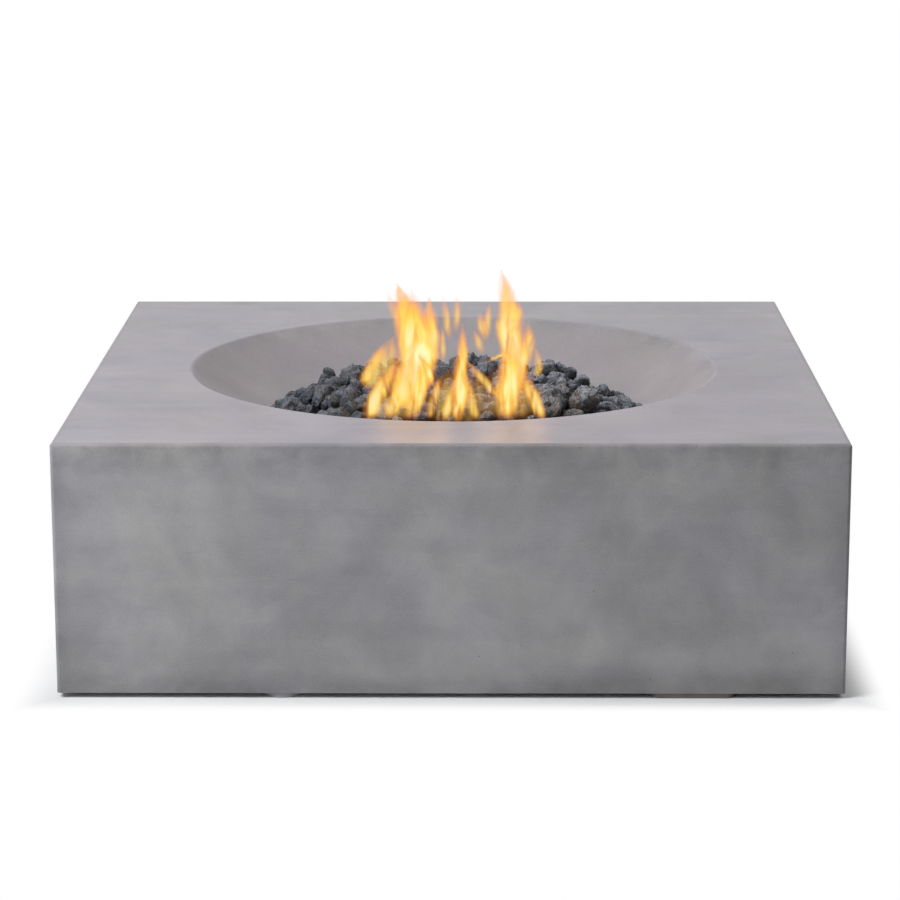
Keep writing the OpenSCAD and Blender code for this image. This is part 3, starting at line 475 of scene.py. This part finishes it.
def lava_pattern(number, fineness):
    """One rough stone of radius 1: a ball broken by flat faces, with lumps and pits."""
    dice = random.Random(number)
    shape = bmesh.new()
    bmesh.ops.create_icosphere(shape, subdivisions=fineness, radius=1.0)
    stretch = [dice.uniform(*limits) for limits in STONE_STRETCH]
    shift = Vector([dice.uniform(-PATTERN_SPREAD, PATTERN_SPREAD) for _ in range(3)])
    cuts = []
    for _ in range(CUT_COUNT):
        facing = Vector([dice.gauss(0, 1) for _ in range(3)]).normalized()
        cuts.append((facing, dice.uniform(*CUT_REACH)))
    for vertex in shape.verts:
        point = vertex.co.copy()
        for facing, reach in cuts:
            point -= max(0.0, point.dot(facing) - reach) * CUT_FLATNESS * facing
        coarse = COARSE_LUMP * noise.noise(COARSE_SCALE * point + shift)
        fine = FINE_LUMP * noise.noise(FINE_SCALE * point + shift)
        pit = noise.voronoi(PIT_SCALE * point + shift)[0][0]
        sunk = PIT_DEPTH * max(0.0, PIT_REACH - pit) / PIT_REACH
        point *= 1 + (coarse + fine) - sunk
        vertex.co = [length * share for length, share in zip(point, stretch)]
    mesh = bpy.data.meshes.new(f"lava_pattern_{number}")
    shape.to_mesh(mesh)
    shape.free()
    return bpy.data.objects.new(f"lava_pattern_{number}", mesh)


PATTERN_COUNT = 8
BIG_STONES = [lava_pattern(number, fineness=4) for number in range(PATTERN_COUNT)]
SMALL_STONES = [lava_pattern(number, fineness=3) for number in range(PATTERN_COUNT, 2 * PATTERN_COUNT)]
BUMP_SCALE, BUMP_SWELL = 130.0, 3.0


def lava_heap(name, stones, size, spread, seed):
    """Puts one of the stone patterns at each point, turned and sized by chance, and roughens it."""
    patterns = {f"pattern_{number}": pattern for number, pattern in enumerate(stones)}
    maker = Maker(name, stone_size=size, size_spread=spread, roughness=0.12, seed=seed,
                  finish=FINISHES["lava"], **patterns)
    given = maker.given

    def chance(kind, low, high, shift):
        """A random value for each stone, with the seed shifted so that no two uses agree."""
        first = {"FLOAT_VECTOR": 0, "FLOAT": 2, "INT": 4}[kind]
        node = maker.add("FunctionNodeRandomValue", {first: low, first + 1: high}, data_type=kind)
        maker.put(node.inputs["Seed"], maker.plus(given["seed"], float(shift)))
        return node.outputs[first // 2]

    stock = maker.add("GeometryNodeJoinGeometry")
    for label in reversed(patterns):
        info = maker.add("GeometryNodeObjectInfo", {"Object": given[label], "As Instance": True})
        maker.links.new(info.outputs["Geometry"], stock.inputs[0])
    turn = chance("FLOAT_VECTOR", (0, 0, 0), (math.tau, math.tau, math.tau), 1)
    pick = chance("INT", 0, len(patterns) - 1, 2)
    grow = chance("FLOAT", maker.minus(1.0, given["size_spread"]), maker.plus(1.0, given["size_spread"]), 3)
    length = maker.times(given["stone_size"], grow)
    sized = maker.add("ShaderNodeCombineXYZ", {"X": length, "Y": length, "Z": length}).outputs[0]
    placed = maker.add("GeometryNodeInstanceOnPoints", {
        "Points": given["Geometry"], "Instance": stock.outputs[0], "Pick Instance": True,
        "Instance Index": pick, "Rotation": turn, "Scale": sized}).outputs[0]
    toned = maker.add("GeometryNodeStoreNamedAttribute", {"Geometry": placed, "Name": "stone_tone"},
                      data_type="FLOAT", domain="INSTANCE")
    maker.put(toned.inputs["Value"], chance("FLOAT", 0.0, 1.0, 4))
    loose = maker.add("GeometryNodeRealizeInstances", {"Geometry": toned.outputs[0]}).outputs[0]

    bumps = maker.add("ShaderNodeTexNoise", {"Scale": BUMP_SCALE, "Detail": 3.0, "Roughness": 0.6})
    maker.put(bumps.inputs["Vector"], maker.add("GeometryNodeInputPosition").outputs[0])
    swell = maker.times(maker.minus(bumps.outputs[0], 0.5), maker.times(given["stone_size"], BUMP_SWELL))
    outwards = maker.add("GeometryNodeInputNormal").outputs[0]
    push = maker.add("ShaderNodeVectorMath", {0: outwards}, operation="SCALE")
    maker.put(push.inputs["Scale"], maker.times(swell, given["roughness"]))
    shaped = maker.add("GeometryNodeSetPosition", {"Geometry": loose, "Offset": push.outputs[0]}).outputs[0]
    maker.end(maker.add("GeometryNodeSetShadeSmooth", {"Geometry": shaped}).outputs[0])
    return maker


STONE_SHIFT = 4 * MM
luck = random.Random(11)


def stone_layer(layer, size, lowered, seed):
    """A rough stone near each solid of a CAD layer, moved a little by chance, and lowered."""
    node_name = f"lava_rocks_{layer}"
    points = []
    for middle, _ in solids_of(node_name):
        shift = Vector([luck.uniform(-STONE_SHIFT, STONE_SHIFT) for _ in range(3)])
        points.append(middle + shift - Vector((0, 0, lowered)))
    heap = lava_heap(f"lava_{layer}", BIG_STONES, size, spread=0.18, seed=seed)
    mesh = heap.mesh_from(f"lava_{layer}", points_mesh(layer, points))
    add_piece(f"lava_{layer}", mesh, "root", "lava", node_name)


stone_layer("lower", size=20 * MM, lowered=1 * MM, seed=3)
stone_layer("upper", size=18.5 * MM, lowered=11 * MM, seed=8)

DISH_RADIUS, DISH_DEPTH = 392 * MM, 160 * MM
DISH_SPHERE = (DISH_RADIUS ** 2 + DISH_DEPTH ** 2) / (2 * DISH_DEPTH)
GOLDEN_TURN = 0.618034
# Lifts are in stone sizes
EDGE_REACH, EDGE_LIFT = (252 * MM, 275 * MM), (0.7, 1.3)
BED_REACH, BED_LIFT = (196 * MM, 264 * MM), (0.7, 1.5)
TOP_REACH, TOP_LEVEL, TOP_DROP = 235 * MM, (310 * MM, 321 * MM), 8 * MM


def dish_z(reach):
    """Height of the dish's surface at a distance from its middle."""
    return DECK_Z - DISH_DEPTH + DISH_SPHERE - math.sqrt(DISH_SPHERE ** 2 - reach ** 2)


def small_stones(size, edge_count, bed_count, top_count):
    """Smaller stones along the heap's edge, between the stones on the grate, and on top of the heap."""
    grate_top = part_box("rock_grate")[1].z
    points = []

    def lay(number, reach, z):
        turn = math.tau * number * GOLDEN_TURN
        points.append(Vector((reach * math.cos(turn), reach * math.sin(turn), z)))

    for number in range(edge_count):
        reach = luck.uniform(*EDGE_REACH)
        lay(number, reach, dish_z(reach) + luck.uniform(*EDGE_LIFT) * size)
    for number in range(bed_count):
        reach = luck.uniform(*BED_REACH)
        lay(number, reach, grate_top + luck.uniform(*BED_LIFT) * size)
    for number in range(top_count):
        share = math.sqrt(luck.random())
        lay(number, TOP_REACH * share, luck.uniform(*TOP_LEVEL) - TOP_DROP * share ** 4)
    heap = lava_heap("lava_small", SMALL_STONES, size, spread=0.28, seed=21)
    mesh = heap.mesh_from("lava_small", points_mesh("small", points))
    add_piece("lava_small", mesh, "root", "lava")


small_stones(size=13 * MM, edge_count=110, bed_count=200, top_count=120)


# Knob and button: the CAD shapes with their edges rounded

FLAT_ANGLE, ROUNDED_ANGLE, CREASE_ANGLE = math.radians(1), math.radians(40), math.radians(35)
ROUNDING_STEPS = 3


def softened(node_name, body, width):
    """A copy of a node's mesh with its sharp edges rounded, in the node's place."""
    carrier = bpy.data.objects.new(node_name, NODES[node_name].data.copy())
    bpy.context.scene.collection.objects.link(carrier)
    shape = bmesh.new()
    shape.from_mesh(carrier.data)
    bmesh.ops.remove_doubles(shape, verts=shape.verts, dist=MERGE_REACH)
    bmesh.ops.dissolve_limit(shape, angle_limit=FLAT_ANGLE, verts=shape.verts, edges=shape.edges)
    shape.to_mesh(carrier.data)
    shape.free()
    bevel = carrier.modifiers.new("round", "BEVEL")
    bevel.width = width
    bevel.segments = ROUNDING_STEPS
    bevel.limit_method = "ANGLE"
    bevel.angle_limit = ROUNDED_ANGLE
    seen = carrier.evaluated_get(bpy.context.evaluated_depsgraph_get())
    mesh = bpy.data.meshes.new_from_object(seen)
    bpy.data.objects.remove(carrier)
    mesh.shade_smooth()
    mesh.set_sharp_from_angle(angle=CREASE_ANGLE)
    mesh.materials.clear()
    add_piece(f"{node_name}_soft", mesh, body, SLOT_OF[node_name], node_name)


softened("control_knob", body="control_knob", width=0.8 * MM)
softened("igniter_button", body="igniter_button", width=0.7 * MM)


# Screws of the control box and the door frame

SCREW_SIDES = 24
SHANK_SHARE, CONE_SHARE = 0.5, 0.5
SOCKET_SHARE, SOCKET_DEPTH = 0.5, 0.35
SIXTH_TURN = math.tau / 6


def countersunk_screw(head_radius, length):
    """A screw at the origin with a hex socket, driven towards -Y."""
    shape = bmesh.new()

    def ring(radius, y):
        turns = [math.tau * side / SCREW_SIDES for side in range(SCREW_SIDES)]
        return [shape.verts.new((radius * math.cos(turn), y, radius * math.sin(turn))) for turn in turns]

    def wall(first, second):
        for side in range(SCREW_SIDES):
            after = (side + 1) % SCREW_SIDES
            shape.faces.new((first[side], first[after], second[after], second[side]))

    head = ring(head_radius, 0)
    socket = ring(head_radius * SOCKET_SHARE, 0)
    floor = ring(head_radius * SOCKET_SHARE, -head_radius * SOCKET_DEPTH)
    for edge in (socket, floor):
        for side, vertex in enumerate(edge):
            turn = math.tau * side / SCREW_SIDES % SIXTH_TURN
            flat = math.cos(SIXTH_TURN / 2) / math.cos(turn - SIXTH_TURN / 2)
            vertex.co.x *= flat
            vertex.co.z *= flat
    neck = ring(head_radius * SHANK_SHARE, -head_radius * CONE_SHARE)
    end = ring(head_radius * SHANK_SHARE, -length)
    wall(head, socket)
    wall(socket, floor)
    wall(neck, head)
    wall(end, neck)
    shape.faces.new(floor)
    shape.faces.new(end)
    bmesh.ops.recalc_face_normals(shape, faces=shape.faces)
    mesh = bpy.data.meshes.new("countersunk_screw")
    shape.to_mesh(mesh)
    shape.free()
    return mesh


def screw_set(node_name):
    """A countersunk screw at each of a node's screws, its socket turned by chance."""
    places = solids_of(node_name)
    _, half = places[0]
    pattern = bpy.data.objects.new("screw_pattern", countersunk_screw(half.x, 2 * half.y))
    maker = Maker(node_name, pattern=pattern, seed=5, finish=FINISHES[SLOT_OF[node_name]])
    screw = maker.add("GeometryNodeObjectInfo", {"Object": maker.given["pattern"]}).outputs["Geometry"]
    limits = {2: 0.0, 3: SIXTH_TURN, "Seed": maker.given["seed"]}
    chance = maker.add("FunctionNodeRandomValue", limits).outputs[1]
    turn = maker.add("ShaderNodeCombineXYZ", {"Y": chance}).outputs[0]
    inputs = {"Points": maker.given["Geometry"], "Instance": screw, "Rotation": turn}
    maker.end(maker.add("GeometryNodeInstanceOnPoints", inputs).outputs[0])
    points = [centre + Vector((0, size.y, 0)) for centre, size in places]
    mesh = maker.mesh_from(node_name, points_mesh(node_name, points))
    add_piece(f"{node_name}_socket", mesh, "root", SLOT_OF[node_name], node_name)


screw_set("control_box_screws")
screw_set("door_frame_screws")


# Gas hose and the thread in the gas inlet

HOSE_BEND, BEND_STEPS = 130 * MM, 24
RIB_PITCH, RIB_HEIGHT, RIB_STEPS = 4 * MM, 1.1 * MM, 6.0
HOSE_SIDES = 20
THREAD_PITCH, THREAD_DEPTH, THREAD_MARGIN = 1.8 * MM, 0.8 * MM, 1 * MM
THREAD_STEPS, RIDGE_SIDES = 32, 4


def hose_path():
    """The hose's middle line: out of the burner's elbow, round a bend and into the valve."""
    low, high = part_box("gas_hose")
    radius = (high.z - low.z) / 2
    x, y, z = low.x + radius, high.y - radius, (low.z + high.z) / 2
    points = [(x, low.y, z)]
    for step in range(BEND_STEPS + 1):
        turn = math.pi - math.pi / 2 * step / BEND_STEPS
        bend_x = x + HOSE_BEND + HOSE_BEND * math.cos(turn)
        bend_y = y - HOSE_BEND + HOSE_BEND * math.sin(turn)
        points.append((bend_x, bend_y, z))
    points.append((high.x, y, z))
    curve = bpy.data.curves.new("hose_path", "CURVE")
    curve.dimensions = "3D"
    spline = curve.splines.new("POLY")
    spline.points.add(len(points) - 1)
    for point, place in zip(spline.points, points):
        point.co = (*place, 1)
    return curve, radius


def ribbed_hose():
    """A corrugated tube along the hose's middle line."""
    path, radius = hose_path()
    maker = Maker("ribbed_hose", radius=radius, rib_pitch=RIB_PITCH, rib_height=RIB_HEIGHT,
                  finish=FINISHES["hose_steel"])
    given = maker.given
    line = maker.add("GeometryNodeResampleCurve", {"Curve": given["Geometry"]}, mode="LENGTH")
    maker.put(line.inputs["Length"], maker.over(given["rib_pitch"], RIB_STEPS))
    along = maker.add("GeometryNodeSplineParameter").outputs["Length"]
    wave = maker.calc("COSINE", maker.times(maker.over(along, given["rib_pitch"]), math.tau))
    dip = maker.times(maker.span(wave, -0.9, 0.6), given["rib_height"])
    circle = maker.add("GeometryNodeCurvePrimitiveCircle", {"Resolution": HOSE_SIDES, "Radius": 1.0})
    sweep = {"Curve": line.outputs[0], "Profile Curve": circle.outputs["Curve"], "Fill Caps": True}
    tube = maker.add("GeometryNodeCurveToMesh", sweep)
    maker.put(tube.inputs["Scale"], maker.minus(given["radius"], dip))
    maker.end(maker.add("GeometryNodeSetShadeSmooth", {"Geometry": tube.outputs[0]}).outputs[0])
    mesh = maker.mesh_from("gas_hose_ribbed", path)
    add_piece("gas_hose_ribbed", mesh, "root", "hose_steel", "gas_hose")


def inlet_thread():
    """The inner thread of the gas inlet's bore."""
    mount = next(entry for entry in frame["record"]["mounts"] if entry["name"] == "gas_inlet")
    bore, length = mount["dims"]["r_mm"] * MM, mount["dims"]["length_mm"] * MM
    maker = Maker("inlet_thread", bore=bore, length=length - 2 * THREAD_MARGIN, pitch=THREAD_PITCH,
                  depth=THREAD_DEPTH, finish=FINISHES["brass"])
    given = maker.given
    turns = maker.over(given["length"], given["pitch"])
    helix = maker.add("GeometryNodeCurveSpiral", {
        "Resolution": THREAD_STEPS, "Rotations": turns, "Start Radius": given["bore"],
        "End Radius": given["bore"], "Height": given["length"]}).outputs[0]
    profile = {"Resolution": RIDGE_SIDES, "Radius": given["depth"]}
    ridge = maker.add("GeometryNodeCurvePrimitiveCircle", profile)
    sweep = {"Curve": helix, "Profile Curve": ridge.outputs["Curve"], "Fill Caps": True}
    thread = maker.add("GeometryNodeCurveToMesh", sweep).outputs[0]
    placed = maker.add("GeometryNodeTransform", {"Geometry": thread, "Rotation": (-math.pi / 2, 0, 0)})
    centre = Vector(mount["pos_m"])
    placed.inputs["Translation"].default_value = centre - Vector((0, length / 2 - THREAD_MARGIN, 0))
    maker.end(placed.outputs[0])
    mesh = maker.mesh_from("inlet_thread", points_mesh("inlet", [centre]))
    add_piece("inlet_thread", mesh, "root", "brass")


ribbed_hose()
inlet_thread()


# Flames: they burn over the stones but are no piece of the table, so no body carries them

# Each tongue has its heat, its place along Y, its foot and its tip (x, z), how far it bows to the right,
# and its half width, with all places and sizes in mm
FLAMES = (
    # Left flame
    (1.9, -140, (-75, 310), (-80, 500), 25, 30),
    (1.2, -110, (-45, 350), (-35, 475), 5, 17),
    (0.9, -125, (-60, 385), (-60, 490), 5, 20),
    (0.5, -100, (-70, 410), (-95, 480), 0, 12),
    (0.8, -215, (-120, 315), (-75, 405), -5, 16),
    (0.8, -210, (-90, 315), (-55, 415), 0, 17),
    (0.8, -220, (-60, 315), (-45, 420), 5, 15),
    (2.4, -225, (-30, 365), (-50, 415), 5, 6),
    (0.5, -205, (-35, 315), (-15, 380), 0, 11),
    (0.15, -190, (-80, 310), (-60, 400), 0, 55),
    (0.5, -130, (-130, 350), (-100, 410), 0, 13),
    (0.4, -120, (-120, 340), (-85, 420), 0, 26),
    # Middle flame
    (1.8, -205, (10, 310), (15, 455), 0, 12),
    (0.8, -200, (-10, 310), (15, 390), 0, 11),
    (0.6, -200, (65, 345), (20, 400), 0, 10),
    (0.6, -190, (35, 310), (15, 380), 0, 10),
    (0.22, -185, (5, 305), (10, 390), 0, 52),
    # Right flame
    (1.3, -140, (75, 320), (70, 520), 15, 23),
    (0.8, -120, (95, 365), (110, 440), 5, 14),
    (0.9, -215, (130, 315), (85, 415), 0, 13),
    (1.1, -215, (75, 315), (85, 440), 5, 20),
    (0.25, -200, (95, 315), (85, 390), 5, 14),
    (0.2, -190, (85, 310), (85, 400), 0, 46),
    (0.6, -150, (45, 385), (85, 405), 0, 8),
    (0.45, -130, (120, 360), (120, 405), 5, 9),
    # Wisps between them
    (0.5, -120, (-15, 375), (-15, 435), 0, 6),
    (0.55, -95, (-5, 405), (-15, 475), 0, 8),
    (0.5, -90, (5, 415), (5, 475), 0, 8),
    (0.55, -85, (45, 405), (40, 450), 0, 9),
    (0.55, -90, (45, 400), (55, 465), 0, 8),
    (0.4, -95, (45, 385), (30, 425), 0, 8),
)
FLAME_ROOM, FLAME_DEPTH = 1.4, 1.3
FLAME_SIDES, FLAME_RINGS = 14, 20
FOOT_SHARE, SWELL_RATE, TAPER_POWER, TIP_SHARE = 0.7, 1.2, 5, 0.08
FLAME_DENSITY, FLAME_GLOW = 1.4, 1.2
SWAY_SCALE, STREAK_SCALE = (18, 18, 26), (58, 18, 13)
THIN_TONGUE, WIDE_TONGUE = 4 * MM, 22 * MM
# A tongue that starts above this height, in mm, floats free of the stones
LOW_FLAME = 360


def seen_directly(tree):
    """1 for what the camera, a reflection or a see-through surface shows, 0 for light on the object."""
    path = tree.add("ShaderNodeLightPath").outputs
    seen = tree.calc("MAXIMUM", path["Is Camera Ray"], path["Is Glossy Ray"])
    return tree.calc("MAXIMUM", seen, path["Is Transmission Ray"])


def flame_matter(name, heat, depth, foot, tip, bow, half_width):
    """Glowing gas along a tongue: yellow and dense in the middle, orange and thin at its edge and tip."""
    orange, amber, yellow, white_hot = (srgb(255, 150, 74), srgb(255, 186, 82),
                                        srgb(255, 220, 92), srgb(255, 247, 200))
    floating = foot[1] > LOW_FLAME
    look = Finish(name)
    look.nodes.remove(look.shader)
    x, y, z = look.axes()

    rise = look.over(look.minus(z, foot[1] * MM), (tip[1] - foot[1]) * MM)
    lean = look.plus(look.times(rise, (tip[0] - foot[0]) * MM), foot[0] * MM)
    bowed = look.times(look.calc("SINE", look.times(rise, math.pi)), bow * MM)
    swell = look.calc("MINIMUM", look.plus(look.times(rise, SWELL_RATE), FOOT_SHARE), 1.0)
    taper = look.minus(1.0, look.calc("POWER", rise, TAPER_POWER))
    width = look.times(look.calc("MAXIMUM", look.times(swell, taper), TIP_SHARE), half_width * MM)
    sway = look.times(look.minus(look.noise(1, detail=2, vector=look.stretched(SWAY_SCALE)), 0.5), width)
    across = look.over(look.minus(look.plus(x, sway), look.plus(lean, bowed)), width)
    through = look.over(look.minus(y, depth * MM), look.times(width, FLAME_DEPTH))
    reach = look.calc("SQRT", look.plus(look.calc("POWER", across, 2.0), look.calc("POWER", through, 2.0)))

    body = look.fade(reach, look.span(width, THIN_TONGUE, WIDE_TONGUE, 0.0, 0.4), 1.1)
    streak = look.noise(1, detail=2, distortion=1.6, vector=look.stretched(STREAK_SCALE))
    streak = look.span(streak, 0.36, 0.62, 0.5 if floating else 0.2, 1.0)
    start = look.span(rise, 0.0, 0.5 if floating else 0.15)
    end = look.span(rise, 0.6, 1.0, 1.0, 0.1 if floating else 0.35)
    share = look.times(look.times(body, streak), look.times(start, end))
    seen = look.times(share, seen_directly(look))
    thick = look.over(look.times(seen, FLAME_DENSITY * heat), width)
    hot = look.times(share, look.span(rise, 0.35, 0.9, 0.6 + 0.3 * heat, 0.3 + 0.15 * heat))
    colour = look.ramp(hot, (0.0, orange), (0.25, amber), (0.55, yellow), (0.9, white_hot))

    gas = look.add("ShaderNodeVolumeAbsorption", {"Color": (0, 0, 0, 1), "Density": thick}).outputs[0]
    bright = look.times(thick, FLAME_GLOW)
    glow = look.add("ShaderNodeEmission", {"Color": colour, "Strength": bright}).outputs[0]
    both = look.add("ShaderNodeAddShader", {0: gas, 1: glow}).outputs[0]
    look.put(look.nodes["Material Output"].inputs["Volume"], both)
    return look.material


def add_tongue(name, heat, depth, foot, tip, bow, half_width):
    """A closed tube with room for one tongue of glowing gas."""
    shape = bmesh.new()
    turns = [math.tau * side / FLAME_SIDES for side in range(FLAME_SIDES)]
    rings = []
    for number in range(FLAME_RINGS + 1):
        rise = number / FLAME_RINGS
        x = foot[0] + (tip[0] - foot[0]) * rise + bow * math.sin(math.pi * rise)
        z = foot[1] + (tip[1] - foot[1]) * rise
        share = min(1.0, FOOT_SHARE + SWELL_RATE * rise) * (1 - rise ** TAPER_POWER)
        radius = half_width * max(share, TIP_SHARE) * FLAME_ROOM
        ring = []
        for turn in turns:
            place = (x + radius * math.cos(turn), depth + FLAME_DEPTH * radius * math.sin(turn), z)
            ring.append(shape.verts.new([length * MM for length in place]))
        rings.append(ring)
    for low, high in zip(rings, rings[1:]):
        for side in range(FLAME_SIDES):
            after = (side + 1) % FLAME_SIDES
            shape.faces.new((low[side], low[after], high[after], high[side]))
    shape.faces.new(list(reversed(rings[0])))
    shape.faces.new(rings[-1])
    mesh = bpy.data.meshes.new(name)
    shape.to_mesh(mesh)
    shape.free()
    mesh.materials.append(flame_matter(name, heat, depth, foot, tip, bow, half_width))
    tongue = bpy.data.objects.new(name, mesh)
    bpy.context.scene.collection.objects.link(tongue)


for number, tongue in enumerate(FLAMES):
    add_tongue(f"flame_{number}", *tongue)


# Studio

CAMERA_PLACE = (0.0347, -4.4346, 1.2502)
CAMERA_DOWN, CAMERA_ROLL, CAMERA_TURN = 13.063, 0.08, 0.5
FOCAL_PIXELS, IMAGE_PIXELS, SENSOR = 3016.6, 900, 36.0
FLAME_LIGHT_COLOUR = (1.0, 0.55, 0.2)
FLAME_LIGHT_RADIUS = 60 * MM


def set_camera():
    """The camera that was fitted to the photo."""
    camera = bpy.data.objects.new("camera", bpy.data.cameras.new("camera"))
    camera.data.sensor_width = SENSOR
    camera.data.lens = FOCAL_PIXELS / IMAGE_PIXELS * SENSOR
    camera.location = CAMERA_PLACE
    turns = (90 - CAMERA_DOWN, CAMERA_ROLL, CAMERA_TURN)
    camera.rotation_euler = [math.radians(turn) for turn in turns]
    bpy.context.scene.collection.objects.link(camera)
    bpy.context.scene.camera = camera


def set_world(strength):
    """A white world that shows at full strength but lights the object only a little."""
    world = bpy.data.worlds.new("studio")
    bpy.context.scene.world = world
    world.use_nodes = True
    tree = NodeTree(world.node_tree)
    background = tree.nodes["Background"]
    background.inputs["Color"].default_value = (1, 1, 1, 1)
    tree.put(background.inputs["Strength"], tree.span(seen_directly(tree), 0, 1, strength, 1.0))


def set_floor(size, near, far):
    """A pale floor: beside the block it takes the shadow, and farther off it is plain white."""
    mesh = bpy.data.meshes.new("floor")
    corners = [(-size, -size, 0), (size, -size, 0), (size, size, 0), (-size, size, 0)]
    mesh.from_pydata(corners, [], [(0, 1, 2, 3)])
    floor = bpy.data.objects.new("floor", mesh)
    bpy.context.scene.collection.objects.link(floor)
    look = Finish("studio_floor", roughness=0.9, specular_ior_level=0.0)
    x, y, _ = look.axes()
    reach = look.calc("MAXIMUM", look.calc("ABSOLUTE", x), look.calc("ABSOLUTE", y))
    beside = look.minus(reach, HALF_WIDTH)
    shade = look.ramp(look.noise(3, detail=2), (0.3, srgb(238, 239, 241)), (0.7, srgb(242, 243, 244)))
    look.surface(base_color=shade)
    white = look.add("ShaderNodeEmission", {"Color": (1, 1, 1, 1), "Strength": 1.0}).outputs[0]
    share = look.times(look.span(beside, near, far), seen_directly(look))
    result = look.add("ShaderNodeMixShader", {0: share, 1: look.shader.outputs[0], 2: white}).outputs[0]
    look.put(look.nodes["Material Output"].inputs["Surface"], result)
    mesh.materials.append(look.material)


def add_softbox(name, place, target, size, power):
    """A round, soft lamp that faces its target."""
    lamp = bpy.data.lights.new(name, "AREA")
    lamp.shape = "DISK"
    lamp.size = size
    lamp.energy = power
    softbox = bpy.data.objects.new(name, lamp)
    softbox.location = place
    softbox.rotation_euler = (Vector(target) - Vector(place)).to_track_quat("-Z", "Y").to_euler()
    bpy.context.scene.collection.objects.link(softbox)


def add_flame_light(name, place, power):
    """A small warm lamp for the light that a flame throws on the stones and the dish."""
    lamp = bpy.data.lights.new(name, "POINT")
    lamp.color = FLAME_LIGHT_COLOUR
    lamp.shadow_soft_size = FLAME_LIGHT_RADIUS
    lamp.energy = power
    light = bpy.data.objects.new(name, lamp)
    light.location = place
    bpy.context.scene.collection.objects.link(light)


set_camera()
set_world(strength=0.1)
set_floor(size=40, near=4 * MM, far=60 * MM)
add_flame_light("left_flame_light", place=(-0.055, -0.2, 0.42), power=0.25)
add_flame_light("right_flame_light", place=(0.086, -0.2, 0.42), power=0.25)
add_softbox("key_light", place=(-2.6, -1.7, 3.3), target=(0, 0, 0.25), size=2.2, power=146)
add_softbox("left_light", place=(-2.6, -2.2, 1.3), target=(0, -0.3, 0.2), size=1.8, power=19)
add_softbox("back_light", place=(0, 1.9, 3.2), target=(0, 0, 0.3), size=2.4, power=12)
add_softbox("right_light", place=(2.4, 1.4, 2.8), target=(0, 0, 0.3), size=2.0, power=44)
bpy.context.scene.view_settings.view_transform = "Standard"
